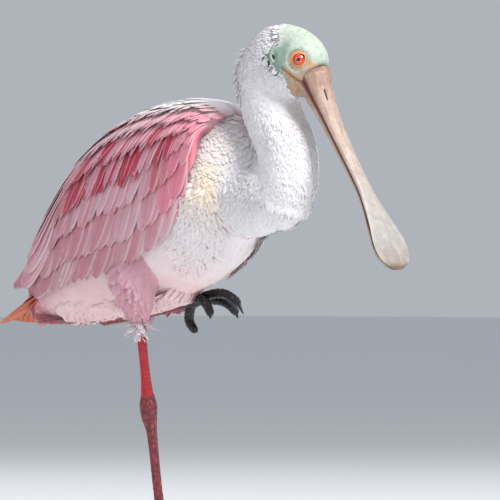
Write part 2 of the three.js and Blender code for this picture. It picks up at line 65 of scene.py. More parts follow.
# A folded wing: x, top, lower edge, distance from the midline
WING = np.array([
    [-168, 217, 211, 13], [-145, 241, 206, 22], [-125, 265, 207, 31], [-100, 295, 209, 41],
    [-70, 326, 214, 52], [-30, 351, 221, 59], [10, 364, 231, 61], [36, 367, 243, 61],
    [54, 368, 254, 60], [70, 366, 276, 58], [84, 361, 292, 56], [95, 350, 318, 49],
], float)
TURN = 0.5

# The head: station, forward, height, half height, half width, tilt
HEAD = np.array([
    [0, -46, 386, 5, 4, 0], [1, -42, 386, 15, 12, 0], [2, -31, 388, 27, 19.5, 0],
    [3, -15, 393, 33.5, 23, 0], [4, 0, 395, 32.5, 23.5, 0], [5, 11, 394, 30, 22.5, 10],
    [6, 19, 390.5, 27, 20, 22], [7, 24, 386, 23.5, 17.5, 33], [8, 25.7, 381.6, 20.6, 15.2, 40.6],
], float)

# The bill: part of its length, half width, upper depth, lower depth
BILL = np.array([
    [0, 15, 13, 11.5], [0.08, 13, 11.5, 9.5], [0.2, 10.5, 8.2, 6.5], [0.35, 9.2, 6.2, 5.2],
    [0.5, 9, 5, 4.6], [0.6, 10, 4.4, 4.2], [0.69, 14, 4, 3.8], [0.78, 19.5, 3.7, 3.4],
    [0.87, 24.2, 3.5, 3.1], [0.93, 23.5, 3.1, 2.8], [0.975, 17, 2.7, 2.3], [1, 7, 2, 1.8],
], float)
BILL_LINE = np.array([
    [25.7, 381.6], [40, 354], [54.6, 327.6], [70.1, 301], [82.9, 279], [94.5, 258], [107.5, 228.5],
])

# Limbs as stops of x, y, z and radius
NECK_DOWN = [[121, 0, 392, 25], [122, 0, 372, 26], [130, 0, 350, 25.5], [142, 0, 328, 25.5],
             [144, 0, 305, 27],
             [136, 0, 290, 30]]
NECK_BACK = [[134, 0, 291, 30.5], [112, 0, 288, 34], [84, 0, 291, 38], [60, 0, 296, 38]]
THIGH_RIGHT = [[4, -34, 248, 19], [5, -35, 226, 18], [7, -35.5, 206, 12], [8, -35, 190, 6.5]]
SHANK_RIGHT = [[8.1, -34.8, 191.5, 4.6], [6.5, -30.5, 168, 3.9], [4.6, -25, 142, 4], [3.4, -21.4, 123.5, 5.4]]
TARSUS_RIGHT = [[3.3, -21.2, 124.6, 5.7], [3, -20, 116, 7.2], [3.3, -19, 106, 6.4], [4.4, -17, 92, 4.3],
                [7, -13.5, 50, 3.8], [9.6, -10.5, 18, 4.2], [10, -10, 7, 4.9]]
THIGH_LEFT = [[14, 36, 240, 18], [-6, 37, 226, 17], [-28, 35.5, 212, 12], [-46, 33.5, 204, 7]]
SHANK_LEFT = [[-44, 33.8, 204.4, 4.6], [-66, 31, 199, 3.9], [-85, 28.3, 195.4, 4.3]]
TARSUS_LEFT = [[-85, 28.2, 195.2, 5.2], [-93, 26.6, 192.6, 6.8], [-94, 24, 187.6, 6.2],
               [-84, 20.5, 186.4, 4.5],
               [-50, 18.6, 190, 3.8], [-14, 19, 195.5, 3.9], [6, 19.8, 200, 4.6]]
PAD_LEFT = [[5, 19.8, 199.9, 4.8], [14, 20, 203, 7.4], [20, 20, 203.4, 5.8]]
HANGING_TOES = {
    "middle": [[20, 20, 204], [46, 20, 208.5], [64, 19.6, 203], [74, 19.4, 191.5]],
    "inner": [[19, 17, 203.5], [37, 10.5, 202], [46, 8, 194], [48, 7, 187.5]],
    "outer": [[19, 23.5, 203.5], [39, 29.5, 202], [51, 31, 195], [55, 32, 188]],
    "hind": [[12, 20.5, 199], [7, 23, 187], [11, 24, 179.5], [16, 24, 176.5]],
}
TOE_LENGTHS = {"inner": 66, "middle": 80, "outer": 70, "hind": 32}
TOE_ANGLES = {"inner": 42, "middle": 2, "outer": -38, "hind": 186}

# Wing and tail feathers: thickness, thickness of the flat scapulars, camber, and the tail's tilt
VANE_THICK, FLAT_THICK = 0.6, 0.4
WING_CAMBER, TAIL_CAMBER, TAIL_TILT = 0.045, 0.03, 0.4

# The tail: how far it dips, in degrees, its root's height at TAIL_ROOT, and its layers as count, length, half
# width, spread, height, root's x and part of carmine
TAIL_DIP = 32
TAIL_ROOT, TAIL_HEIGHT = -125, 213.5
TAIL_LAYERS = (
    (12, 60, 8.4, 22, 0.0, -125, 0.15), (9, 34, 6.5, 17, 3.4, -124, 0.55), (7, 24, 5.5, 14, 4.4, -122, 0.35),
    (8, 32, 6.5, 18, -2.6, -122, 0.5), (7, 22, 5.5, 14, -3.4, -118, 0.3),
)

# The eye's radius and its seat forward, outward and up; the edge of the bare skin of the head as height and
# how far forward of the head's centre; and the line behind the corner of the mouth
EYE_RADIUS = 6.4
EYE_SEAT = (22.0, 13.8, 397.7)
BARE_EDGE = np.array([
    [366, 14], [371, 12], [383, 11.5], [393, 2.9], [401, -4.6], [406, -1], [410, 5.5], [416, 3.9], [422, 0.5],
    [428, -1],
])
GAPE = np.array([[11, 391], [31, 374]])

# The lids' and the ear rim's profiles and the ear's hollow: radius and height
LID_PROFILE = ((4.95, 3.9), (4.9, 4.3), (5.05, 4.6), (5.35, 4.6), (5.6, 4.3), (5.85, 4.15), (6.15, 4.2),
               (6.4, 4.0), (6.8, 3.3), (7.2, 2.2), (6.9, 0.9), (6.0, 1.0), (5.3, 2.8))
EAR_PROFILE = ((1.2, -0.3), (1.3, 0.7), (1.8, 1.15), (2.6, 1.1), (3.3, 0.4), (3.6, -1.0), (1.8, -1.4))
EAR_HOLLOW = ((0.1, 0.8), (0.6, 0.75), (1.0, 0.5), (1.0, -1.0), (0.1, -1.0))
EAR_SEAT = (3.5, 22.6, 400.0)

# The standing foot's pad as scale and height of its outline; its toes and claws as part of the length and
# parts of the half width and height, which are given with the place where a toe starts; and the radii of the
# hanging toes and claws
PAD_RINGS = ((0.05, 0.0), (1.0, 0.0), (1.0, 1.6), (0.9, 2.9), (0.72, 4.2), (0.55, 6.6), (0.4, 9.4),
             (0.05, 9.6))
TOE_ROWS = np.array([
    [0.13, 1.05, 1.1], [0.22, 0.92, 0.95], [0.3, 1, 1], [0.42, 0.86, 0.85], [0.55, 0.95, 0.9],
    [0.68, 0.8, 0.76], [0.8, 0.86, 0.78], [0.86, 0.7, 0.62], [0.9, 0.42, 0.45],
])
CLAW_ROWS = np.array([[0.84, 0.5, 0.55], [0.9, 0.42, 0.52], [0.96, 0.26, 0.34], [1, 0.06, 0.1]])
TOE_START, TOE_WIDE, TOE_HIGH = 10.0, 4.6, 6.4
HANGING_GIRTH, HANGING_CLAW = (4.1, 4.0, 3.5, 2.9), (2.6, 2.6, 2.5, 0.4)

# The stage: the air's colour and strength, the camera's film and reach, the height that the lamps aim at, in
# metres, the floor's side and drop, and the lamps with turn, rise, distance, size and power
AIR = ((0.78, 0.83, 0.90, 1), 0.55)
SENSOR_WIDTH, VIEW_END = 36, 100
LAMP_AIM = 0.25
FLOOR_SIZE, FLOOR_DROP = 40000.0, -0.2
LAMPS = (("key", 52, 44, 2.6, 0.8, 74), ("fill", -35, 20, 3.2, 2.2, 14), ("back", 200, 40, 3.0, 1.8, 20),
         ("top", 0, 88, 2.8, 2.4, 12))

# The coat: the fewest points of a whole skin, the most tufts of one piece, a tuft's side on its map, the
# thickness of broad and narrow tufts, the least half width of a broad one, and how far the thighs are puffed
LEAST_SKIN_POINTS = 5000
MOST_TUFTS = 7000
BAKE_SIZE = 0.003
BROAD_THICK, NARROW_THICK = 0.16, 0.24
BROAD_FROM = 1.7
THIGH_PUFF = 3.0
# The band of carmine streaks on the wing: x, middle height, half of its breadth
BAND = np.array([[-84, 280, 3], [-68, 289, 8], [-40, 300, 14], [0, 315, 20], [50, 322, 20], [68, 322, 6]],
                float)

# The tiers of wing feathers: count, then first and last of each as root and tip (x and the way round) and
# half width, height off the wing's outline, and how many more and how much narrower the scene makes them
TIERS = {
    "primaries": (5, (-80, 0.66, -98, 0.48), (-140, 0.94, -167, 0.5), (9, 7.5), -4.2, 1, 1),
    "secondaries": (15, (76, 0.56, -88, 0.6), (60, 1, -137, 0.985), (12.5, 12), -3, 1.4, 0.85),
    "greater": (14, (80, 0.43, -74, 0.47), (70, 0.86, -110, 0.84), (11.5, 11), -1.6, 1.6, 0.8),
    "median": (16, (84, 0.31, -64, 0.35), (78, 0.66, -92, 0.66), (8.5, 8.5), -0.3, 2.1, 0.62),
    "lesser": (17, (87, 0.235, -52, 0.27), (82, 0.5, -78, 0.53), (7.2, 7.6), 0.6, 2.4, 0.56),
    "lesser_second": (17, (88, 0.17, -42, 0.2), (84, 0.39, -64, 0.41), (6.8, 7), 1.4, 2.4, 0.56),
    "marginal": (16, (89, 0.11, -30, 0.135), (86, 0.29, -50, 0.31), (6.4, 6.8), 1.8, 2.5, 0.55),
    "marginal_second": (14, (89, 0.05, -14, 0.09), (87, 0.2, -34, 0.22), (6.4, 6.6), 2.2, 2.5, 0.55),
    "tertials": (7, (-30, 0.12, -76, 0.45), (-112, 0.2, -142, 0.76), (9.5, 11), 0.9, 1.3, 0.9),
    "scapulars": (12, (76, 0.03, -44, 0.08), (44, 0.13, -98, 0.2), (6.5, 8), 2.5, 1.9, 0.75),
    "scapulars_second": (10, (74, 0.01, -60, 0.03), (36, 0.06, -118, 0.1), (6.5, 8), 2.9, 1.9, 0.75),
}


def metres(name, note, value):
    """A setting of a length."""
    return FloatProperty(name=name, description=note, default=value, unit="LENGTH")


def whole(name, note, value):
    """A setting of a whole number."""
    return IntProperty(name=name, description=note, default=value)


def colour(name, note, value):
    """A colour setting with its default, as linear red, green and blue."""
    return FloatVectorProperty(name=name, description=note, default=value, size=3, subtype="COLOR", min=0,
                               max=1)


class SpoonbillSizes(bpy.types.PropertyGroup):
    """Sizes and numbers of the coat."""
    coat_depth: metres("Coat depth", "How far the skin lies inside the outline", 0.0022)
    skin_step: metres("Skin step", "Spacing of the skin's mesh", 0.0016)
    body_feather: metres("Body feather", "Length of a body feather", 0.0135)
    neck_tuft: metres("Neck tuft", "Length of a neck tuft", 0.0078)
    body_count: whole("Body feathers", "Feathers of each piece on the trunk", 7000)
    neck_count: whole("Neck tufts", "Tufts of each piece on the neck and nape", 7000)
    thigh_count: whole("Thigh feathers", "Feathers on the thighs", 3200)
    belly_count: whole("Belly feathers", "Loose feathers over the drawn-up leg", 2600)
    apron_count: whole("Apron feathers", "Long loose feathers under the breast", 1500)
    fluff_count: whole("Flank fluff", "Loose tufts below the shoulders", 3000)
    wisp_count: whole("Nape wisps", "Longer tufts down the nape", 500)
    seed: whole("Seed", "Seed of every random draw", 7)


class SpoonbillColours(bpy.types.PropertyGroup):
    """Colours of plumage and bare parts."""
    white: colour("White", "Neck and upper back", (0.80, 0.78, 0.78))
    blush: colour("Blush", "Belly and flank", (0.80, 0.50, 0.51))
    pink: colour("Pink", "Wing feathers", (0.60, 0.22, 0.30))
    # Painted shade: this colour darkens the wing towards its lower edge
    painted_shade_mauve: colour("Mauve", "Lower edge of the wing", (0.42, 0.17, 0.21))
    rose: colour("Rose", "Bend of the wing", (0.74, 0.17, 0.24))
    carmine: colour("Carmine", "Band over the lesser coverts", (0.47, 0.012, 0.055))
    buff: colour("Buff", "Patch on the side of the breast", (0.84, 0.66, 0.38))
    tawny: colour("Tawny", "Tail", (0.56, 0.13, 0.035))
    # Painted shade: this grey is mixed at random into the white neck and nape
    grey: colour("Grey", "Mottling of neck and nape", (0.42, 0.40, 0.47))
    crown: colour("Crown", "Top of the bare head", (0.46, 0.52, 0.43))
    green: colour("Green", "Bare face", (0.37, 0.47, 0.39))
    temple: colour("Temple", "Bare skin behind the eye", (0.19, 0.27, 0.23))
    orange: colour("Orange", "Ring of the eye, gape and chin", (0.62, 0.20, 0.045))
    bill_grey: colour("Bill grey", "Spoon of the bill", (0.38, 0.345, 0.30))
    bill_pink: colour("Bill pink", "Base of the bill", (0.40, 0.245, 0.19))
    leg_red: colour("Leg red", "Bare shank", (0.52, 0.016, 0.03))
    leg_dark: colour("Leg dark", "Ankle and scale edges", (0.085, 0.018, 0.022))
    black: colour("Black", "Toes and claws", (0.012, 0.010, 0.012))
    iris: colour("Iris", "Red of the eye", (0.55, 0.012, 0.008))


class SpoonbillStage(bpy.types.PropertyGroup):
    """The camera's place and view."""
    azimuth: FloatProperty(name="Azimuth", description="Camera's angle round the bird",
                           default=math.radians(45), subtype="ANGLE")
    distance: metres("Distance", "Camera's distance", 8.0)
    view_width: metres("View width", "Width that the view covers at the bird", 0.41)
    aim_right: metres("Aim right", "View's middle to the right of the sole", 0.0713)
    aim_height: metres("Aim height", "View's middle over the floor", 0.244)


def sizes():
    """The coat's settings."""
    return bpy.context.scene.spoonbill_sizes


def tint(name, rows=None):
    """A colour setting as a numpy row, or as so many equal rows."""
    shade = np.array(getattr(bpy.context.scene.spoonbill_colours, name)[:])
    return shade if rows is None else np.tile(shade, (rows, 1))


def rows_at(table, x):
    """Rows of a table at x: a cubic between its rows, whose slopes are those between their neighbours."""
    keys = table[:, 0]
    x = np.clip(x, keys[0], keys[-1])
    i = np.clip(np.searchsorted(keys, x, side="left") - 1, 0, len(keys) - 2)
    before, after = (np.maximum(np.arange(len(keys)) - 1, 0),
                     np.minimum(np.arange(len(keys)) + 1, len(keys) - 1))
    slopes = (table[after, 1:] - table[before, 1:]) / (keys[after] - keys[before])[:, None]
    span = (keys[i + 1] - keys[i])[..., None]
    t = (x - keys[i])[..., None] / span
    rise = table[i + 1, 1:] - table[i, 1:]
    bend = (1 - t) * (slopes[i] * span - rise) - t * (slopes[i + 1] * span - rise)
    value = table[i, 1:] + rise * t + t * (1 - t) * bend
    return np.moveaxis(value, -1, 0)


def unit(v):
    """Vectors scaled to length 1."""
    return v / np.maximum(np.linalg.norm(v, axis=-1, keepdims=True), 1e-9)


def smooth(low, high, value):
    """0 below low, 1 above high, and an even S between."""
    t = np.clip((value - low) / (high - low), 0, 1)
    return t * t * (3 - 2 * t)


def blend(a, b, part):
    """Colours a and b mixed by a part for each row."""
    part = np.asarray(part)[..., None]
    return a * (1 - part) + b * part


def turns(count):
    """Even angles once round."""
    return np.linspace(0, 2 * np.pi, count, endpoint=False)


def curve_at(stops, t):
    """A curve through stops at even steps of t, by cubics whose tangents join the neighbouring stops."""
    stops = np.asarray(stops, float)
    padded = np.vstack([2 * stops[0] - stops[1], stops, 2 * stops[-1] - stops[-2]])
    place = np.clip(t, 0, 1) * (len(stops) - 1)
    i = np.minimum(place.astype(int), len(stops) - 2)
    f = (place - i)[..., None]
    a, b, c, d = padded[i], padded[i + 1], padded[i + 2], padded[i + 3]
    return b + 0.5 * f * (c - a + f * (2 * a - 5 * b + 4 * c - d + f * (3 * (b - c) + d - a)))


def tube_grid(stops, along, around, flare=None):
    """A limb as a grid: a ring of each radius round a curve through the stops, in planes across the curve."""
    t = np.linspace(0, 1, along)
    line = curve_at(stops, t)
    ahead = unit(np.gradient(line[:, :3], axis=0))
    side = unit(np.array([0, 1, 0]) - ahead * ahead[:, 1:2])
    over = np.cross(ahead, side)
    angle = turns(around)
    radius = line[:, 3][:, None] * np.ones(around)
    if flare is not None:
        radius = radius + flare(t[:, None], angle[None, :])
    ring = side[:, None] * np.cos(angle)[None, :, None] + over[:, None] * np.sin(angle)[None, :, None]
    return line[:, None, :3] + ring * radius[..., None]


def skin_rings(grid):
    """Points and quads of a closed surface over rings, with a fan point at each end."""
    rows, n = grid.shape[:2]
    index = np.arange(rows * n).reshape(rows, n)
    turned = np.roll(index, -1, axis=1)
    quads = np.stack([index[:-1], turned[:-1], turned[1:], index[1:]], -1).reshape(-1, 4)
    ends = np.array([grid[0].mean(0), grid[-1].mean(0)])
    first = np.stack([np.full(n, rows * n), turned[0], index[0]], -1)
    last = np.stack([np.full(n, rows * n + 1), index[-1], turned[-1]], -1)
    return np.vstack([grid.reshape(-1, 3), ends]), [quads, first, last]


def volume_sign(points, groups):
    """The sign of the volume that faces enclose."""
    total = 0.0
    for faces in groups:
        for k in range(1, faces.shape[1] - 1):
            a, b, c = points[faces[:, 0]], points[faces[:, k]], points[faces[:, k + 1]]
            total += np.einsum("ij,ij->", a, np.cross(b, c))
    return 1 if total >= 0 else -1


def to_world(points):
    """Points of the bird's own frame, in millimetres, as metres in the shared frame."""
    return (points - SOLE) / 1000


def add_marks(mesh, marks):
    """Values that a mesh carries for its material: a colour or a number for each point."""
    for mark, values in marks.items():
        kind, field = ("FLOAT_COLOR", "color") if values.ndim == 2 else ("FLOAT", "value")
        if values.ndim == 2:
            values = np.hstack([values, np.ones((len(values), 1))])
        mesh.attributes.new(mark, kind, "POINT").data.foreach_set(field, values.astype(np.float32).ravel())


def make_object(name, points, groups, material=None, maps=None, marks=None, flat=False):
    """A mesh from points in the bird's millimetres and groups of faces, turned to face outwards."""
    if volume_sign(points - points.mean(0), groups) < 0:
        groups = [faces[:, ::-1] for faces in groups]
    mesh = bpy.data.meshes.new(name)
    world = to_world(points)
    loops = np.concatenate([faces.ravel() for faces in groups])
    counts = np.concatenate([np.full(len(faces), faces.shape[1]) for faces in groups])
    mesh.vertices.add(len(world))
    mesh.vertices.foreach_set("co", world.astype(np.float32).ravel())
    mesh.loops.add(len(loops))
    mesh.loops.foreach_set("vertex_index", loops.astype(np.int32))
    mesh.polygons.add(len(counts))
    mesh.polygons.foreach_set("loop_start", (np.cumsum(counts) - counts).astype(np.int32))
    mesh.polygons.foreach_set("use_smooth", np.full(len(counts), not flat))
    mesh.update(calc_edges=True)
    for map_name, uv in (maps or {}).items():
        layer = mesh.uv_layers.new(name=map_name)
        layer.data.foreach_set("uv", uv[loops].astype(np.float32).ravel())
    add_marks(mesh, marks or {})
    mesh.validate()
    made = bpy.data.objects.new(name, mesh)
    bpy.context.scene.collection.objects.link(made)
    if material:
        mesh.materials.append(material)
    return made


def dress(made, slot, *nodes):
    """Tie a piece to the body and hide the nodes that it stands for."""
    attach(made, "root")
    if nodes:
        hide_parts(*nodes)
    return made


def dress_rings(name, grid, material, slot, *nodes, **more):
    """A closed piece over a grid of rings, dressed."""
    return dress(make_object(name, *skin_rings(grid), material, **more), slot, *nodes)


class Pile:
    """Blades of one piece, gathered layer by layer."""

    def __init__(self):
        self.points, self.groups, self.local, self.shades, self.patches = [], [], [], [], []
        self.total = 0

    def add(self, points, groups, local, shades, patches):
        self.points.append(points)
        self.groups += [faces + self.total for faces in groups]
        self.local.append(local)
        self.shades.append(shades)
        self.patches.append(patches)
        self.total += len(points)

    def made(self, name, material):
        maps = {"OFBake": np.vstack(self.patches), "Vane": np.vstack(self.local)}
        marks = {"Plumage": np.vstack(self.shades)}
        return make_object(name, np.vstack(self.points), self.groups, material, maps, marks)


class Value:
    """A socket of a node tree, so that shader maths reads as an expression."""

    def __init__(self, tree, socket):
        self.tree, self.socket = tree, socket

    def maths(self, operation, *others):
        return add_node(self.tree, "ShaderNodeMath", {"operation": operation},
                        dict(enumerate((self, *others))))

    def __add__(self, other):
        return self.maths("ADD", other)

    def __mul__(self, other):
        return self.maths("MULTIPLY", other)

    def __sub__(self, other):
        return self.maths("SUBTRACT", other)

    def __rsub__(self, other):
        return add_node(self.tree, "ShaderNodeMath", {"operation": "SUBTRACT"}, {0: other, 1: self})

    __radd__, __rmul__ = __add__, __mul__

    def range(self, low, high):
        """0 below low, 1 above high, and an even S between."""
        return add_node(self.tree, "ShaderNodeMapRange", {"interpolation_type": "SMOOTHSTEP"},
                        {"Value": self, "From Min": low, "From Max": high})


def add_node(tree, kind, settings=None, inputs=None, out=0):
    """A node of a kind, its settings first and then its sockets' values or links; returns one output."""
    node = tree.nodes.new(kind)
    for key, value in (settings or {}).items():
        if key == "stops":
            while len(node.color_ramp.elements) < len(value):
                node.color_ramp.elements.new(0.5)
            for element, (place, shade) in zip(node.color_ramp.elements, value):
                element.position, element.color = place, (*shade, 1)
        else:
            setattr(node, key, value)
    for key, value in (inputs or {}).items():
        socket = node.inputs[key]
        if isinstance(value, Value):
            tree.links.new(value.socket, socket)
        elif hasattr(socket.default_value, "__len__") and len(socket.default_value) == 4 and len(value) == 3:
            socket.default_value = (*value, 1)
        else:
            socket.default_value = value
    return Value(tree, node.outputs[out])


def mix_colour(tree, part, a, b, mode="MIX"):
    """Two colours mixed by a part."""
    return add_node(tree, "ShaderNodeMix", {"data_type": "RGBA", "blend_type": mode}, {0: part, 6: a, 7: b},
                    2)


def noise(tree, place, scale, detail=3.0, rough=0.5):
    """Noise of a scale, in cycles to the metre."""
    values = {"Vector": place, "Scale": scale, "Detail": detail, "Roughness": rough}
    return add_node(tree, "ShaderNodeTexNoise", {}, values)


def map_values(tree, name):
    """The two values of a UV map."""
    local = add_node(tree, "ShaderNodeUVMap", {"uv_map": name})
    parts = add_node(tree, "ShaderNodeSeparateXYZ", {}, {0: local})
    return parts, Value(tree, parts.socket.node.outputs[1])


def mark_of(tree, name, out=0):
    """A value that the mesh carries: 0 gives its colour, 2 its number."""
    return add_node(tree, "ShaderNodeAttribute", {"attribute_name": name}, {}, out)


def finish_surface(material, base, rough, relief=None, strength=0.3, depth=0.0005, **fixed):
    """A principled surface from a colour, a roughness and a relief that stands out by a depth."""
    tree = material.node_tree
    shader = tree.nodes.new("ShaderNodeBsdfPrincipled")
    for name, value in (("Base Color", base), ("Roughness", rough)):
        if isinstance(value, Value):
            tree.links.new(value.socket, shader.inputs[name])
        else:
            shader.inputs[name].default_value = value if name == "Roughness" else (*value, 1)
    if relief is not None:
        bump = add_node(tree, "ShaderNodeBump", {},
                        {"Strength": strength, "Distance": depth, "Height": relief})
        tree.links.new(bump.socket, shader.inputs["Normal"])
    for name, value in fixed.items():
        shader.inputs[name.replace("_", " ")].default_value = value
    output = tree.nodes.new("ShaderNodeOutputMaterial")
    tree.links.new(shader.outputs[0], output.inputs[0])
    return material


def new_material(name):
    """An empty material, its node tree, and the place on the object as a value in that tree."""
    material = bpy.data.materials.new(name)
    material.use_nodes = True
    tree = material.node_tree
    tree.nodes.clear()
    return material, tree, add_node(tree, "ShaderNodeTexCoord", {}, {}, 3)


def vane_material(name, scale=1.0):
    """Feather: its root's plumage colour, a paler edge, a dark shaft line, fine barbs and soft blotches."""
    material, tree, place = new_material(name)
    plumage = mark_of(tree, "Plumage")
    across, along = map_values(tree, "Vane")
    across = across.maths("ABSOLUTE")
    soft = noise(tree, place, 90.0, 4.0)
    edge = across.range(0.55, 1.0)
    shaft = 1 - across.range(0.02, 0.09)
    shade = mix_colour(tree, edge * 0.32 * scale, plumage, (0.86, 0.78, 0.76))
    shade = mix_colour(tree, shaft * along.range(0.0, 0.3) * 0.28 * scale, shade, (0.36, 0.06, 0.06))
    shade = mix_colour(tree, soft.range(0.35, 0.75) * 0.22, shade, (0.9, 0.84, 0.83), "SOFT_LIGHT")
    barbs = (along * 150.0 + across * 46.0).maths("SINE")
    ridge = barbs * 0.5 + shaft * 1.6
    return finish_surface(material, shade, 0.62, ridge, 0.35, 0.00025, Specular_IOR_Level=0.28)


def coat_material(name):
    """Small feathers and skin under them: the plumage colour with faint soft blotches."""
    material, tree, place = new_material(name)
    soft = noise(tree, place, 70.0, 4.0)
    fine = noise(tree, place, 900.0, 2.0)
    shade = mix_colour(tree, soft.range(0.3, 0.75) * 0.35, mark_of(tree, "Plumage"), (0.93, 0.9, 0.9),
                       "SOFT_LIGHT")
    bare = mark_of(tree, "Bare", 2)
    mottle = noise(tree, place, 330.0, 4.0, 0.65)
    pores = noise(tree, place, 1500.0, 2.0, 0.6)
    shade = mix_colour(tree, bare * mottle.range(0.45, 0.75) * 0.45, shade, (0.16, 0.17, 0.11))
    shade = mix_colour(tree, bare * pores.range(0.62, 0.75) * 0.3, shade, (0.08, 0.08, 0.06))
    relief = fine * (1 - bare * 0.6) + bare * (mottle * 0.7 + pores * 0.35)
    return finish_surface(material, shade, 0.85 - bare * 0.33, relief, 0.4, 0.0006, Specular_IOR_Level=0.25)


def wing_surface(side, x, turn):
    """Points on a folded wing: a quarter oval from the back out to its width, then nearly straight down."""
    top, low, wide = rows_at(WING, x)
    knee = low + (top - low) * 0.52
    a = np.minimum(turn / TURN, 1) * np.pi / 2
    down = np.maximum(turn - TURN, 0) / (1 - TURN)
    y = np.where(turn < TURN, wide * np.sin(a), wide - 5 * down * down)
    z = np.where(turn < TURN, knee + (top - knee) * np.cos(a), knee - (knee - low) * down)
    return np.stack([x, side * y, z], -1)


def wing_out(side, x, turn):
    """The direction away from a wing's surface, across its two tangents."""
    behind = wing_surface(side, x + 1, turn) - wing_surface(side, x - 1, turn)
    below = wing_surface(side, x, turn + 0.01) - wing_surface(side, x, turn - 0.01)
    out = unit(np.cross(behind, below))
    return np.where((out[..., 1] * side + out[..., 2] < 0)[..., None], -out, out)


def wing_part(x):
    """How far along a wing x lies, from the tip's end to the bend."""
    return (x - WING[0, 0]) / (WING[-1, 0] - WING[0, 0])


def wide_section(columns):
    """A blade's section over the upper face and back under the lower: each corner's place across, its face
    (1 upper, -1 lower), and the quads of an end."""
    across = np.linspace(-1, 1, columns)
    n = 2 * columns
    ends = [[j, j + 1, n - 2 - j, n - 1 - j] for j in range(columns - 1)]
    return np.r_[across, across[::-1]], np.r_[np.ones(columns), -np.ones(columns)], np.array(ends)


def small_section():
    """A flat diamond: edge, ridge, edge and keel."""
    return np.array([-1.0, 0, 1, 0]), np.array([0.0, 1, 0, -1]), np.array([[0, 1, 2, 3]])


def blades(line, out, width, shape, section, thick, camber=0.0, tilt=0.0):
    """Closed blades along lines: a section across the line at each row, bent down by the camber and raised at
    one edge by the tilt. Returns points, face groups and each point's place across and along its blade."""
    across, face, ends = section
    count, rows = line.shape[:2]
    n = len(across)
    ahead = unit(np.gradient(line, axis=1))
    side = unit(np.cross(out, ahead))
    w = (width[:, None] * shape[None, :])[:, :, None, None]
    t = np.linspace(0, 1, rows)
    rise = (face * thick / 2)[None, None, :] * (1 - 0.5 * t)[None, :, None] * np.ones((count, 1, 1))
    rise = rise - camber * w[..., 0] * across**2 + tilt * across * shape[None, :, None]
    points = (line[:, :, None] + side[:, :, None] * w * across[None, None, :, None]
              + out[:, :, None] * rise[..., None])
    index = np.arange(count * rows * n).reshape(count, rows, n)
    turned = np.roll(index, -1, axis=2)
    quads = np.stack([index[:, :-1], turned[:, :-1], turned[:, 1:], index[:, 1:]], -1).reshape(-1, 4)
    first = index[:, 0][:, ends[:, ::-1]].reshape(-1, 4)
    last = index[:, -1][:, ends].reshape(-1, 4)
    local = np.stack(np.broadcast_arrays(across[None, None, :], t[None, :, None] + np.zeros((count, 1, 1))),
                     -1)
    return points.reshape(-1, 3), [np.vstack([quads, first, last])], local.reshape(-1, 2)


def bake_patch(root_uv, local, per_blade):
    """Each blade's patch at its root's place on the unwrap."""
    shift = np.stack([local[:, 0] * 0.5, local[:, 1] - 0.5], -1) * BAKE_SIZE
    return np.clip(np.repeat(root_uv, per_blade, axis=0), BAKE_SIZE, 1 - BAKE_SIZE) + shift


VANE_ROWS = np.linspace(0, 1, 9)
VANE_SHAPE = np.where(VANE_ROWS < 0.6, 0.42 + 0.58 * smooth(0, 0.5, VANE_ROWS),
                      np.sqrt(np.clip(1 - ((VANE_ROWS - 0.6) / 0.415) ** 2, 0.004, 1)))
SMALL_ROWS = np.array([0, 0.36, 0.76, 1])
SMALL_SHAPE = np.array([0.35, 1, 0.82, 0.12])
ROUND_SHAPE = np.array([0.5, 0.95, 1, 0.4])


def wing_plumage(tier, dice, place):
    """The colour of wing feathers: white scapulars, a rosy bend, a band of carmine streaks that narrows from
    the wrist towards the rump, and purplish pink below, darkened with painted shade towards the lower edge;
    some feathers are paler at random, partly as painted highlights."""
    x, z = place[:, 0], place[:, 2]
    # Some feathers paler at random: partly real paler feathers, partly a painted highlight of pale streaks
    base = blend(tint("pink", len(x)), tint("white"), 0.06 + 0.42 * dice**2)
    if tier.startswith("scapulars") or tier == "tertials":
        white = smooth(-130, 10, x) * (0.9 if tier != "tertials" else 0.45)
        return blend(base, tint("white"), np.clip(white + 0.15 * dice, 0, 1))
    # Painted shade: darker towards the wing's lower edge
    base = blend(base, tint("painted_shade_mauve"), 0.55 * smooth(300, 225, z))
    bend = smooth(38, 74, x) * smooth(268, 292, z) * smooth(366, 352, z)
    base = blend(base, tint("white"), 0.8 * smooth(350, 362, z))
    base = blend(base, blend(tint("rose", len(x)), tint("white"), 0.25 * dice), 0.9 * bend)
    middle, breadth = rows_at(BAND, x)
    band = (smooth(breadth * 1.25, breadth * 0.75, np.abs(z - middle)) * smooth(-92, -80, x)
            * smooth(76, 62, x))
    return blend(base, tint("carmine"), band * (dice > 0.42) * (0.7 + 0.3 * dice))


def on_thigh(place):
    """How far a place belongs to a thigh: within its limb, and clear of the body's middle."""
    near = np.full(len(place), 99.0)
    for stops in (THIGH_RIGHT, THIGH_LEFT):
        for stop in curve_at(stops, np.linspace(0, 1, 14)):
            near = np.minimum(near, np.linalg.norm(place - stop[:3], axis=1) - stop[3] - THIGH_PUFF)
    return smooth(1.6, -0.4, near) * smooth(12, 18, np.abs(place[:, 1])) * smooth(262, 250, place[:, 2])


def puffed(stops):
    """A thigh's stops with its radii widened by the loose feathers."""
    return [[*stop[:3], stop[3] + puff] for stop, puff in zip(stops, (-1.5, 0.8, THIGH_PUFF, 1.0))]


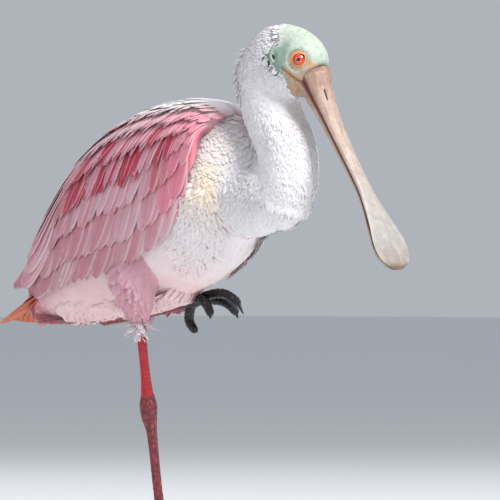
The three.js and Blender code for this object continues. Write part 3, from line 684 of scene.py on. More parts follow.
def body_plumage(place, dice):
    """The colour of body feathers: white above and in front, a buff patch at the side of the breast, and
    blush over the flank, belly and thigh, with red coverts over and under the tail."""
    x, y, z = place.T
    low = smooth(262, 214, z) * smooth(96, 40, x)
    shade = blend(tint("white", len(x)), tint("blush"),
                  np.clip(0.12 + 0.62 * low + 0.1 * dice, 0, 1))
    thigh = on_thigh(place)
    shade = blend(shade, blend(tint("pink", len(x)), tint("white"), 0.12 + 0.16 * dice),
                  0.95 * thigh)
    cuff = smooth(199, 194, z) * smooth(24, 10, np.abs(x - 8))
    shade = blend(shade, tint("white"), 0.8 * cuff)
    patch = np.exp(-(((x - 92) / 15) ** 2 + ((z - 305) / 22) ** 2)) * (np.abs(y) > 18)
    shade = blend(shade, tint("buff"), 0.62 * patch)
    rump = smooth(-96, -132, x)
    return blend(shade, blend(tint("carmine"), tint("pink"), dice), rump * (0.35 + 0.4 * (dice > 0.5)))


class SPOONBILL_OT_stage(bpy.types.Operator):
    """Pale floor, soft studio lights and the camera at the photograph's angle"""
    bl_idname = "spoonbill.stage"
    bl_label = "Stage, lights and camera"

    def execute(self, context):
        stage = context.scene.spoonbill_stage
        corners = np.array([[-1, -1, 0], [1, -1, 0], [1, 1, 0], [-1, 1, 0]], float) * FLOOR_SIZE / 2
        corners[:, 2] = FLOOR_DROP
        material, tree, place = new_material("Studio floor")
        grain = noise(tree, place, 40.0)
        finish_surface(material, (0.80, 0.81, 0.82), 0.85, grain, 0.05, 0.001)
        make_object("studio_floor", corners, [np.array([[0, 1, 2, 3]])], material)
        sin, cos = math.sin(stage.azimuth), math.cos(stage.azimuth)
        aim = np.array([cos * stage.aim_right, sin * stage.aim_right, stage.aim_height])
        away = np.array([sin, -cos, 0.0])
        camera = bpy.data.cameras.new("camera")
        camera.sensor_width = SENSOR_WIDTH
        camera.lens = camera.sensor_width * stage.distance / stage.view_width
        camera.clip_end = VIEW_END
        eye = bpy.data.objects.new("camera", camera)
        eye.location = aim + away * stage.distance
        eye.rotation_euler = (math.pi / 2, 0, stage.azimuth)
        context.scene.collection.objects.link(eye)
        context.scene.camera = eye
        world = bpy.data.worlds.new("Studio air")
        world.use_nodes = True
        for socket, value in zip(world.node_tree.nodes["Background"].inputs, AIR):
            socket.default_value = value
        context.scene.world = world
        context.scene.view_settings.view_transform = "Standard"
        for name, turn, rise, far, size, power in LAMPS:
            light = bpy.data.lights.new(name, "AREA")
            light.size, light.energy = size, power
            a, e = math.radians(turn) + stage.azimuth, math.radians(rise)
            spot = np.array([math.sin(a) * math.cos(e), -math.cos(a) * math.cos(e), math.sin(e)]) * far
            lamp = bpy.data.objects.new(name, light)
            lamp.location = spot + UP * LAMP_AIM
            lamp.rotation_euler = (math.pi / 2 - e, 0, a)
            context.scene.collection.objects.link(lamp)
        return {"FINISHED"}


def trunk_grid(along=60, around=64):
    """The trunk as ovals between its top and bottom lines."""
    x = np.linspace(TRUNK[-1, 0], TRUNK[0, 0], along)
    top, bottom, wide = rows_at(TRUNK, x)
    a = turns(around)
    y = wide[:, None] * np.cos(a)
    z = (top + bottom)[:, None] / 2 + (top - bottom)[:, None] / 2 * np.sin(a)
    return np.stack([x[:, None] + 0 * y, y, z], -1)


def head_point(forward, left, height):
    """A place by the head's own measures: forward of its centre, to its left, and height."""
    forward, left, height = (np.asarray(v, float)[..., None]
                             for v in np.broadcast_arrays(forward, left, height))
    centre = np.array([HEAD_CENTRE[0], HEAD_CENTRE[1], 0.0])
    return centre + HEAD_AHEAD * forward + HEAD_LEFT * left + UP * height


def head_grid(along=56, around=64):
    """The skull as ovals whose planes tilt forward towards the bill."""
    place = np.linspace(0, 8, along)
    forward, height, high, wide, tilt = rows_at(HEAD, place)
    tilt = np.radians(tilt)
    up = HEAD_AHEAD * np.sin(tilt)[:, None] + UP * np.cos(tilt)[:, None]
    a = turns(around)
    side = HEAD_LEFT * (wide[:, None] * np.cos(a))[..., None]
    return (head_point(forward, 0, height)[:, None] + side
            + up[:, None] * (high[:, None] * np.sin(a))[..., None])


def round_ends(grid):
    """A limb's grid with two smaller rings past each end, so that it closes in a dome."""
    parts = [grid]
    for end, nearer in ((0, 1), (-1, -2)):
        middle = grid[end].mean(0)
        ahead = unit(middle - grid[nearer].mean(0))
        radius = np.linalg.norm(grid[end] - middle, axis=-1).mean()
        caps = [middle + (grid[end] - middle) * math.cos(a) + ahead * radius * math.sin(a)
                for a in (math.radians(35), math.radians(68))]
        parts = [np.array(caps[::-1]), *parts] if end == 0 else [*parts, np.array(caps)]
    return np.concatenate(parts)


def fused_skin(name, grids, step):
    """One closed skin over several closed surfaces, remeshed as a whole and smoothed; with the place of each
    of its points and the way out there."""
    made = []
    for k, grid in enumerate(grids):
        points, groups = skin_rings(grid)
        made.append(make_object(f"{name}_{k}", points, groups))
    context = {"active_object": made[0], "selected_editable_objects": made, "selected_objects": made}
    with bpy.context.temp_override(**context):
        bpy.ops.object.join()
    skin = made[0]
    skin.name = name
    for kind, settings in (("REMESH", {"mode": "VOXEL", "voxel_size": step}),
                           ("SMOOTH", {"factor": 0.6, "iterations": 5})):
        modifier = skin.modifiers.new(kind.title(), kind)
        for key, value in settings.items():
            setattr(modifier, key, value)
    graph = bpy.context.evaluated_depsgraph_get()
    mesh = bpy.data.meshes.new_from_object(skin.evaluated_get(graph))
    old = skin.data
    skin.data = mesh
    skin.modifiers.clear()
    bpy.data.meshes.remove(old)
    place = np.empty(len(mesh.vertices) * 3, np.float32)
    out = np.empty_like(place)
    mesh.vertices.foreach_get("co", place)
    mesh.vertices.foreach_get("normal", out)
    place, out = place.reshape(-1, 3) * 1000 + SOLE, out.reshape(-1, 3)
    return skin, place, out


def head_measures(place):
    """How far places are forward of the head's centre and to its left, and their height."""
    rel = place[:, :2] - HEAD_CENTRE
    return rel @ HEAD_AHEAD[:2], rel @ HEAD_LEFT[:2], place[:, 2]


def past_edge(place):
    """How far forward of the feathers' edge a place is, with an uneven edge."""
    ahead, left, z = head_measures(place)
    uneven = 1.3 * np.sin(z * 1.9 + left * 0.9) * np.sin(z * 0.61 + left * 0.5 + 1.3)
    return ahead - np.interp(z, *BARE_EDGE.T) + uneven


def bare_head(place):
    """How bare the head is at a place: 1 on the crown, face and chin, 0 where the feathers begin."""
    return smooth(-0.9, 0.9, past_edge(place)) * smooth(364, 368, place[:, 2]) * (place[:, 0] > 100)


def from_gape(place):
    """The distance from the line behind the corner of the mouth."""
    ahead, _, z = head_measures(place)
    way = GAPE[1] - GAPE[0]
    t = np.clip(((ahead - GAPE[0, 0]) * way[0] + (z - GAPE[0, 1]) * way[1]) / (way @ way), 0, 1)
    return np.hypot(ahead - GAPE[0, 0] - way[0] * t, z - GAPE[0, 1] - way[1] * t)


def from_eye(place):
    """The distance from the axis of the nearer eye, and how far out along it."""
    left = head_measures(place)[1]
    off, along = np.full((2, len(place)), 99.0)
    for side in (-1, 1):
        centre, out, _, _ = eye_frame(side)
        rel = place - centre
        near = left * side > 0
        along[near] = (rel @ out)[near]
        off[near] = np.linalg.norm(rel - (rel @ out)[:, None] * out, axis=1)[near]
    return off, along


def bump(value, width):
    """A bell round 0."""
    return np.exp(-((value / width) ** 2))


def head_relief(place):
    """How far the head's skin stands out: brow, folds round the eye, cheek and gape, and the ear's mound."""
    ahead, left, z = head_measures(place)
    side = smooth(7, 12, np.abs(left)) * bare_head(place)
    eye, depth = from_eye(place)
    gape = from_gape(place)
    rise = (0.9 * bump(eye - 10.4, 1.8) * smooth(398, 406, z)
            - 0.7 * bump(eye - 8.5, 0.8) * smooth(406, 400, z))
    rise = (rise + 0.6 * bump(eye - 10.4, 1.1) * smooth(402, 396, z) - 1.0 * bump(gape, 0.9)
            + 0.5 * bump(gape - 2.4, 1.2))
    ear = np.hypot((ahead - EAR_SEAT[0]) * 1.3, z - EAR_SEAT[2])
    rise = rise + 0.8 * bump(ear - 5.5, 2.4)
    cheek = smooth(398, 392, z) * smooth(4, 10, ahead) * smooth(30, 22, ahead)
    rise = rise + 0.28 * cheek * np.sin((ahead * 0.65 - z * 0.75) * 2.4)
    temple = smooth(19, 12, ahead) * smooth(390, 396, z) * smooth(416, 408, z)
    rise = rise - np.maximum(depth - 3.0, 0) * smooth(7.8, 5.4, eye) * (depth < 20)
    return side * (rise + 0.22 * temple * np.sin(ahead * 2.3 + 0.4 * np.sin(z)))


def head_marks(place):
    """Colours of the bare head: pale crown over green, grey-green temple, orange round the eye, on the lore,
    gape and chin, painted shade in the folds round the eye and along the gape, and the brown of the bill's
    base."""
    ahead, left, z = head_measures(place)
    side = smooth(7, 11, np.abs(left))
    eye, gape = from_eye(place)[0], from_gape(place)
    shade = blend(tint("green", len(z)), tint("crown"), smooth(402, 418, z + 0.25 * ahead))
    shade = blend(shade, tint("temple"),
                  0.85 * smooth(17, 10, ahead - 0.25 * (z - 400)) * smooth(418, 409, z))
    shade = blend(shade, tint("temple"), 0.7 * smooth(389, 381, z) * smooth(22, 14, ahead))
    orange = 0.7 * smooth(9.0, 6.6, eye) * side
    orange = np.maximum(orange, 0.85 * side * bump(ahead - 33, 4) * bump(z - 394.5 + 0.5 * (ahead - 33), 2.2))
    orange = np.maximum(orange, 0.7 * smooth(4.6, 1.6, gape) * smooth(10, 16, ahead))
    orange = np.maximum(orange, 0.55 * smooth(384, 377, z) * smooth(12, 15.5, ahead))
    fade = smooth(7, -1, past_edge(place)) * smooth(403, 413, z)
    shade = blend(blend(shade, tint("white"), 0.75 * fade), tint("orange"), orange)
    base = (smooth(-1.0, 2.0, 393 + 0.46 * (ahead - 33.5) - z) * smooth(21.5, 27, ahead)
            * smooth(1.0, 3.0, gape))
    base = np.maximum(base * smooth(7.5, 10, eye), 0.8 * smooth(17.5, 21, ahead) * smooth(384, 379, z))
    shade = blend(shade, tint("bill_pink"), base)
    # Painted shade: near black in the creases round the eye and in the line of the gape
    dark = 0.7 * bump(eye - 8.4, 0.7) * side * smooth(30, 20, ahead) + 0.8 * bump(gape, 0.8) * side
    dark = dark + 0.25 * bump(eye - 7.2, 0.35) * side
    return blend(shade, np.array([0.05, 0.045, 0.035]), np.clip(dark, 0, 1))


def skin_plumage(place, dice, feathers=False):
    """The markings of the skin: body, neck mottled grey as painted shade, dark stubs at the face, and bare
    head.
    """
    shade = body_plumage(place, dice)
    neck = smooth(92, 110, place[:, 0]) * smooth(250, 262, place[:, 2])
    neck = np.maximum(neck, smooth(362, 372, place[:, 2]))
    # Painted shade: grey mixed at random into the white neck, more towards the nape
    grey = 0.10 + 0.30 * dice**3 + 0.25 * smooth(378, 400, place[:, 2]) * dice
    shade = blend(shade, blend(tint("white", len(place)), tint("grey"), grey), neck)
    edge = past_edge(place)
    stubs = (smooth(-6.5, -2.5, edge) * smooth(382, 391, place[:, 2]) * smooth(420, 411, place[:, 2])
             * (dice > 0.55))
    shade = blend(shade, tint("black") * 2, 0.9 * stubs * (place[:, 0] > 100))
    return shade if feathers else blend(shade, head_marks(place), bare_head(place))


def sample_skin(place, out, triangles, weight, count, dice):
    """Seeded places on the skin, as many to an area as its weight says, with the direction away from it."""
    corners = place[triangles]
    area = np.linalg.norm(np.cross(corners[:, 1] - corners[:, 0], corners[:, 2] - corners[:, 0]), axis=1)
    share = area * weight[triangles].mean(1)
    picked = dice.choice(len(triangles), count, p=share / share.sum())
    a, b = dice.random((2, count))
    a = np.sqrt(a)
    parts = np.stack([1 - a, a * (1 - b), a * b], -1)[..., None]
    return (corners[picked] * parts).sum(1), unit((out[triangles[picked]] * parts).sum(1))


def lie_of(place):
    """The way feathers lie: back along the trunk, down the breast, neck and thighs, and back on the nape."""
    x, y, z = place.T
    back = np.tile([-0.86, 0.0, -0.42], (len(x), 1))
    back[:, 2] = -0.16 - 0.5 * smooth(340, 230, z)
    neck = np.maximum(smooth(40, 88, x), smooth(352, 366, z) * smooth(70, 96, x))
    down = np.stack([-0.12 - 0.3 * smooth(370, 400, z) + 0 * x, 0 * x, np.full(len(x), -1.0)], -1)
    thigh = smooth(232, 212, z) * smooth(20, 27, np.abs(y)) * smooth(-40, -20, x)
    thigh = np.maximum(thigh, smooth(205, 195, z))
    lie = blend(blend(back, down, neck), np.array([-0.12, 0, -1.0]), thigh)
    return unit(lie)


def tufts(place, out, length, width, lift, thick, dice, spread, shape):
    """Small closed blades that start in the skin, lean along its lie and rise by a lift."""
    lie = lie_of(place)
    across = np.cross(out, lie)
    turn = dice.normal(0, spread, len(place))[:, None]
    lie = unit(lie + across * turn)
    lie = unit(lie - out * (lie * out).sum(1)[:, None])
    t = SMALL_ROWS[None, :, None]
    rise = (-0.5 + (lift[:, None] + 0.5) * (1 - (1 - SMALL_ROWS) ** 1.6))[..., None]
    reach = length[:, None, None] * t
    curl = dice.normal(0, 0.05, len(place))[:, None, None] * np.cross(out, lie)[:, None] * reach * t
    line = place[:, None] + lie[:, None] * reach + out[:, None] * rise + curl
    directions = np.repeat(out[:, None], len(SMALL_ROWS), axis=1)
    return blades(line, directions, width, shape, small_section(), thick)


def unwrap_of(place):
    """Each place on an unwrap of the skin: the way round the trunk or neck, and the way along it."""
    x, y, z = place.T
    body = np.stack([0.02 + 0.5 * (x + 160) / 340,
                     0.02 + 0.96 * (0.5 + np.arctan2(y, z - 285) / (2 * np.pi))], -1)
    neck = np.stack([0.56 + 0.42 * (0.5 + np.arctan2(y, x - 128) / (2 * np.pi)),
                     0.02 + 0.96 * (z - 240) / 200], -1)
    return np.where((x > 98)[:, None], neck, body)


# The coat's pieces: slot, setting of its number, length by the slot's tuft, half width, lift and spread
COATS = {
    "breast": ("body", "body", 0.85, 2.3, 0.5, 0.08),
    "flank": ("body", "body", 1.1, 3.1, 0.6, 0.07),
    "rump": ("body", "body", 1.1, 3.1, 0.6, 0.06),
    "neck_low": ("neck", "neck", 1.1, 1.5, 0.6, 0.12),
    "neck_high": ("neck", "neck", 1.05, 1.3, 0.7, 0.16),
    "nape": ("neck", "neck", 0.66, 0.85, 0.55, 0.2),
    "thighs": ("body", "thigh", 1.3, 2.8, 0.4, 0.04),
    "belly": ("body", "belly", 0.95, 2.6, 3.6, 0.14),
    "apron": ("body", "apron", 0.9, 2.6, 7.5, 0.2),
    "fluff": ("body", "fluff", 0.85, 1.6, 3.0, 0.8),
    "wisps": ("neck", "wisp", 1.3, 0.5, 3.2, 0.5),
}


def coat_areas(place, bare):
    """How much each piece of the coat covers a place."""
    x, y, z = place.T
    neck = np.maximum(smooth(90, 112, x), smooth(352, 362, z) * smooth(80, 96, x)) * (1 - bare)
    _, low, wide = rows_at(WING, x)
    covered = smooth(-22, -10, np.abs(y) - wide) * smooth(1, 7, z - low) * smooth(86, 78, x)
    covered = covered * smooth(-140, -128, x)
    thigh = on_thigh(place) * (1 - smooth(2, -6, low - z) * (x > -60))
    belly = (smooth(206, 200, z) * smooth(-104, -94, x) * smooth(32, 22, x) * smooth(24, 18, np.abs(y))
             * (1 - thigh))
    trunk = (1 - neck) * (1 - thigh) * (1 - 0.97 * covered) * (1 - bare)
    apron = smooth(216, 210, z) * smooth(-34, -26, x) * smooth(36, 28, x) * smooth(20, 15, np.abs(y))
    apron = apron * (1 - thigh)
    fluff = smooth(54, 60, x) * smooth(98, 90, x) * smooth(20, 28, np.abs(y)) * smooth(220, 230, z)
    fluff = fluff * smooth(300, 288, z)
    wisps = neck * smooth(118, 110, x) * smooth(366, 372, z) * smooth(414, 408, z)
    front = neck * smooth(372, 366, z)
    return {
        "breast": trunk * smooth(48, 52, x),
        "flank": trunk * smooth(52, 48, x) * smooth(-42, -38, x),
        "rump": trunk * smooth(-38, -42, x),
        "neck_low": front * smooth(318, 314, z),
        "neck_high": front * smooth(314, 318, z),
        "nape": neck * smooth(366, 372, z),
        "thighs": thigh, "belly": belly, "apron": apron, "fluff": fluff, "wisps": wisps,
    }


class SPOONBILL_OT_skin(bpy.types.Operator):
    """One skin over trunk, neck, head and thighs, and the small feathers that grow from it"""
    bl_idname = "spoonbill.skin"
    bl_label = "Skin and coat"

    def execute(self, context):
        size = sizes()
        dice = np.random.default_rng(size.seed)
        grids = [trunk_grid(), head_grid()] + [
            round_ends(tube_grid(stops, 30, 48))
            for stops in (NECK_DOWN, NECK_BACK, puffed(THIGH_RIGHT), puffed(THIGH_LEFT))
        ]
        skin, place, out = fused_skin("skin", grids, size.skin_step)
        depth = size.coat_depth * 1000
        bare = bare_head(place)
        place = place + out * (head_relief(place) - depth * (1 - bare))[:, None]
        mesh = skin.data
        mesh.vertices.foreach_set("co", to_world(place).astype(np.float32).ravel())
        mesh.update()
        if len(mesh.vertices) < LEAST_SKIN_POINTS:
            raise RuntimeError("the skin did not close")
        mesh.polygons.foreach_set("use_smooth", np.ones(len(mesh.polygons), bool))
        add_marks(mesh, {"Plumage": skin_plumage(place, dice.random(len(place))), "Bare": bare})
        mesh.materials.append(coat_material("Skin"))
        dress(skin, "body_feathers", "torso", "neck", "head", "thigh_right", "thigh_left")
        mesh.calc_loop_triangles()
        triangles = np.empty(len(mesh.loop_triangles) * 3, np.int32)
        mesh.loop_triangles.foreach_get("vertices", triangles)
        triangles = triangles.reshape(-1, 3)
        areas = coat_areas(place, bare)
        lengths = {"body": size.body_feather * 1000, "neck": size.neck_tuft * 1000}
        for name, (slot, number, long, wide, lift, spread) in COATS.items():
            count = min(getattr(size, number + "_count"), MOST_TUFTS)
            roots, away = sample_skin(place, out, triangles, areas[name], count, dice)
            chance = dice.random(len(roots))
            face = np.where(roots[:, 0] > 100, smooth(0, -9, past_edge(roots)) * (roots[:, 2] > 362), 1)
            near = np.where((roots[:, 0] > 100) & (roots[:, 2] > 362), 0.5 + 0.5 * face, 1)
            length = lengths[slot] * long * (0.75 + 0.5 * dice.random(len(roots))) * near
            width = wide * (0.8 + 0.4 * dice.random(len(roots)))
            lifts = lift * (0.8 + 0.4 * dice.random(len(roots))) * near
            shape, thick = (ROUND_SHAPE, BROAD_THICK) if wide >= BROAD_FROM else (SMALL_SHAPE, NARROW_THICK)
            points, groups, local = tufts(roots, away, length, width, lifts, thick, dice, spread, shape)
            each = len(points) // len(roots)
            shade = np.repeat(skin_plumage(roots, chance, feathers=True), each, axis=0)
            maps = {"OFBake": bake_patch(unwrap_of(roots), local, each)}
            name = "coat_" + name
            coat = make_object(name, points, groups, coat_material(name), maps, {"Plumage": shade}, flat=True)
            dress(coat, slot + "_feathers")
        return {"FINISHED"}


class SPOONBILL_OT_wings(bpy.types.Operator):
    """Both folded wings, feather by feather in their tiers over a plate"""
    bl_idname = "spoonbill.wings"
    bl_label = "Wings"

    def execute(self, context):
        dice = np.random.default_rng(sizes().seed + 1)
        material = vane_material("Wing feathers")
        for name, side in (("wing_right", -1), ("wing_left", 1)):
            x = np.linspace(88, -134, 60)[:, None]
            turn = np.linspace(0.015, 0.78, 40)[None, :]
            x, turn = np.broadcast_arrays(x, turn)
            face, away = wing_surface(side, x, turn), wing_out(side, x, turn)
            depth = 4.6 - 3.2 * smooth(0.5, 0.3, turn)[..., None]
            plate = np.concatenate([face - away * depth, (face - away * 7)[:, ::-1]], axis=1)
            points, groups = skin_rings(plate)
            shade = wing_plumage("plate", np.full(len(points), 0.4), points)
            shade = blend(shade, tint("white"), 0.7 * smooth(340, 358, points[:, 2]))
            spot = np.stack([wing_part(points[:, 0]), np.abs(points[:, 1]) / 80], -1)
            pile = Pile()
            pile.add(points, groups, np.tile([0.3, 0.5], (len(points), 1)), shade, np.clip(spot, 0, 1))
            for tier, (count, root, tip, widths, height, more, narrow) in TIERS.items():
                n = round(count * more)
                part = np.linspace(0, 1, n)
                ends = []
                for stops, jitter in ((root, 1.6), (tip, 2.6)):
                    ends.append(stops[0] + (stops[2] - stops[0]) * part + dice.normal(0, jitter, n))
                    ends.append(stops[1] + (stops[3] - stops[1]) * part
                                + dice.normal(0, 0.012 if narrow < 0.8 else 0.006, n))
                t = VANE_ROWS[None]
                x = ends[0][:, None] + (ends[2] - ends[0])[:, None] * t
                turn = np.clip(ends[1][:, None] + (ends[3] - ends[1])[:, None] * t, 0.005, 1)
                face, away = wing_surface(side, x, turn), wing_out(side, x, turn)
                flat = tier.startswith("scapulars")
                root_depth, height, tilt = (2.6, 0.45 * height, 0.12) if flat else (5.4, height, 0.5)
                lift = -root_depth + (height + root_depth + dice.normal(0, 0.25, n))[:, None] * t**0.8
                line = face + away * lift[..., None]
                width = (widths[0] + (widths[1] - widths[0]) * part) * narrow * (1 + dice.normal(0, 0.05, n))
                points, groups, local = blades(line, away, width, VANE_SHAPE, wide_section(7),
                                               FLAT_THICK if flat else VANE_THICK, WING_CAMBER, tilt)
                each = len(points) // n
                shade = wing_plumage(tier, dice.random(n), line[:, 6])
                patch = bake_patch(np.stack([wing_part(ends[0]), ends[1]], -1), local, each)
                pile.add(points, groups, local, np.repeat(shade, each, axis=0), patch)
            dress(pile.made(name + "_feathers", material), "wing_feathers", name)
        return {"FINISHED"}


def evenly(stops, parts):
    """Places on a curve through stops, at parts of its length."""
    t = np.linspace(0, 1, 400)
    line = curve_at(stops, t)
    gone = np.r_[0, np.cumsum(np.linalg.norm(np.diff(line, axis=0), axis=1))]
    return curve_at(stops, np.interp(parts, gone / gone[-1], t))


def mandible(side, rows=150, arc=60):
    """Half a bill as rings: a D over or under the mouth's line, flared into the face, with a ridge, two
    grooves and nostril slits. Returns the grid, the part along, the angle and how far into a nostril."""
    part = np.linspace(0, 1, rows)
    stops = head_point(BILL_LINE[:, 0], 0, BILL_LINE[:, 1])
    line = evenly(stops, part)
    wide, over, under = rows_at(BILL, part)
    flare = 1 - smooth(0, 0.07, part)
    depth = (over + 3.2 * flare if side > 0 else under + 1.2 * flare)[:, None]
    ahead = unit(np.gradient(line, axis=0))
    line[0] -= ahead[0] * 4
    up = unit(np.cross(ahead, HEAD_LEFT))
    a = np.linspace(0, np.pi, arc)
    rise = depth * (0.12 + 0.88 * np.abs(np.sin(a)) ** 0.8) + 0.2
    slim = (1 - smooth(0.3, 0.62, part))[:, None]
    rise = rise + slim * (0.5 * bump(a - np.pi / 2, 0.22))
    slits = np.zeros((rows, arc))
    for turn in (0.9, np.pi - 0.9):
        rise = rise - slim * 0.45 * bump(a - turn, 0.13)
        if side > 0:
            hole = bump(a - turn - 0.22 * np.sign(np.pi / 2 - turn), 0.1)
            slits = slits + hole * (smooth(0.07, 0.085, part) * smooth(0.15, 0.125, part))[:, None]
    rise = rise - 1.4 * slits
    rim = 0.5 * smooth(0.66, 0.8, part)[:, None] * bump(np.sin(a), 0.25)
    rise = rise + rim
    breadth = wide[:, None] * np.cos(a)
    breadth = np.hstack([breadth, -0.94 * wide[:, None], 0.94 * wide[:, None]])
    rise = np.hstack([rise, np.full((rows, 2), 0.2)])
    grid = line[:, None] + HEAD_LEFT * breadth[..., None] + up[:, None] * (side * rise)[..., None]
    return grid, part, np.r_[a, np.pi, 0], np.hstack([slits, np.zeros((rows, 2))])


def bill_material():
    """Horn: pinkish brown base, grey spoon, streaks, fine specks, a dark line along the mouth's edges painted
    as the gap's shade, and the nostrils painted near black as the shade in their slits.
    """
    material, tree, place = new_material("Bill")
    along, round_ = map_values(tree, "Bill")
    edge = (round_ - 0.5).maths("ABSOLUTE") * 2.0
    ramp = add_node(tree, "ShaderNodeValToRGB", {"stops": (
        (0.0, (0.36, 0.21, 0.15)), (0.07, (0.42, 0.27, 0.21)), (0.3, (0.50, 0.38, 0.31)),
        (0.6, (0.42, 0.37, 0.33)), (0.85, (0.36, 0.34, 0.32)), (1.0, (0.30, 0.25, 0.20)))}, {0: along})
    stretched = add_node(tree, "ShaderNodeCombineXYZ", {}, {0: along * 9.0, 1: round_ * 34.0})
    streaks = noise(tree, stretched, 1.0, 4.0, 0.6)
    specks = noise(tree, place, 620.0, 3.0, 0.7)
    blotch = noise(tree, place, 110.0, 4.0, 0.6)
    shade = mix_colour(tree, streaks.range(0.42, 0.68) * (1 - along.range(0.35, 0.8)) * 0.75, ramp,
                       (0.20, 0.10, 0.075))
    shade = mix_colour(tree, blotch.range(0.4, 0.7) * 0.35, shade, (0.66, 0.58, 0.50))
    shade = mix_colour(tree, specks.range(0.6, 0.72) * along.range(0.35, 0.8) * 0.55, shade,
                       (0.12, 0.10, 0.08))
    # Painted shade: a dark line along the mouth's edges, where the two halves meet
    shade = mix_colour(tree, edge.range(0.955, 1.0) * (1 - along.range(0.75, 0.9)) * 0.8, shade,
                       (0.17, 0.03, 0.03))
    shade = mix_colour(tree, along.range(0.965, 1.0) * 0.8, shade, (0.12, 0.055, 0.03))
    # Painted shade: the nostril slits are painted near black
    shade = mix_colour(tree, mark_of(tree, "Nostril", 2).range(0.35, 0.8), shade, (0.025, 0.015, 0.012))
    relief = streaks * (1 - along.range(0.25, 0.7)) + specks * 0.25
    return finish_surface(material, shade, 0.42, relief, 0.5, 0.0006, Specular_IOR_Level=0.4)


class SPOONBILL_OT_bill(bpy.types.Operator):
    """Both halves of the bill, with culmen, grooves and nostrils"""
    bl_idname = "spoonbill.bill"
    bl_label = "Bill"

    def execute(self, context):
        material = bill_material()
        for name, side in (("bill_upper", 1), ("bill_lower", -1)):
            grid, part, turn, slits = mandible(side)
            local = np.stack(np.broadcast_arrays(part[:, None], turn[None] / np.pi), -1).reshape(-1, 2)
            local = np.vstack([local, [[0, 0.5], [1, 0.5]]])
            marks = {"Nostril": np.r_[slits.ravel(), 0, 0]}
            dress_rings(name + "_horn", grid, material, "bill", name, maps={"Bill": local}, marks=marks)
        return {"FINISHED"}


def eye_frame(side):
    """An eye's centre and its directions: out of the head, forward and up."""
    centre = head_point(EYE_SEAT[0], side * EYE_SEAT[1], EYE_SEAT[2]).ravel()
    out = unit(HEAD_LEFT * side + HEAD_AHEAD * 0.5 + UP * 0.04)
    ahead = unit(HEAD_AHEAD - out * (HEAD_AHEAD @ out))
    return centre, out, ahead, np.cross(out, ahead) * side


def lid_reach(a):
    """How far the lids reach by angle: drawn out at the front corner, flatter on top."""
    return 1 + 0.16 * bump(a - 5.6, 0.42) - 0.05 * bump(a - 1.6, 0.6)


def ring_round(centre, out, ahead, up, profile, around, stretch):
    """A closed ring with a profile of radius and height, stretched by angle."""
    angle = turns(around)
    reach = stretch(angle)
    direction = ahead * np.cos(angle)[:, None] + up * np.sin(angle)[:, None]
    profile = np.array(profile)
    radius = profile[None, :, 0] * (1 + (reach[:, None] - 1) * (profile[None, :, 0] > 0))
    points = centre + direction[:, None] * radius[..., None] + out * profile[None, :, 1, None]
    rows, n = points.shape[:2]
    index = np.arange(rows * n).reshape(rows, n)
    after, turned = np.roll(index, -1, 0), np.roll(index, -1, 1)
    quads = np.stack([index, turned, np.roll(after, -1, 1), after], -1).reshape(-1, 4)
    return points.reshape(-1, 3), [quads]


def eye_material():
    """Wet eye: black pupil, red iris with fine spokes and an orange inner ring, dark rim."""
    material, tree, place = new_material("Eye")
    ring = mark_of(tree, "Ring", 2)
    spoke = noise(tree, place, 1600.0, 3.0, 0.7)
    shade = mix_colour(tree, spoke.range(0.35, 0.7) * 0.6, tuple(tint("iris")), (0.80, 0.06, 0.012))
    shade = mix_colour(tree, 1 - ring.range(1.9, 2.7), shade, (0.85, 0.20, 0.03))
    shade = mix_colour(tree, 1 - ring.range(1.6, 1.85), shade, (0.004, 0.003, 0.003))
    shade = mix_colour(tree, ring.range(4.5, 5.1), shade, (0.05, 0.006, 0.005))
    return finish_surface(material, shade, 0.12, Coat_Weight=1.0, Coat_Roughness=0.02, Specular_IOR_Level=0.5)


def bare_material(name, base, rough=0.55):
    """Bare skin of one colour with fine folds."""
    material, tree, place = new_material(name)
    folds = noise(tree, place, 700.0, 4.0, 0.6)
    blotch = noise(tree, place, 260.0, 3.0)
    shade = mix_colour(tree, blotch.range(0.35, 0.7) * 0.35, base, tuple(0.6 * np.array(base)))
    return finish_surface(material, shade, rough, folds, 0.4, 0.0004, Specular_IOR_Level=0.35)


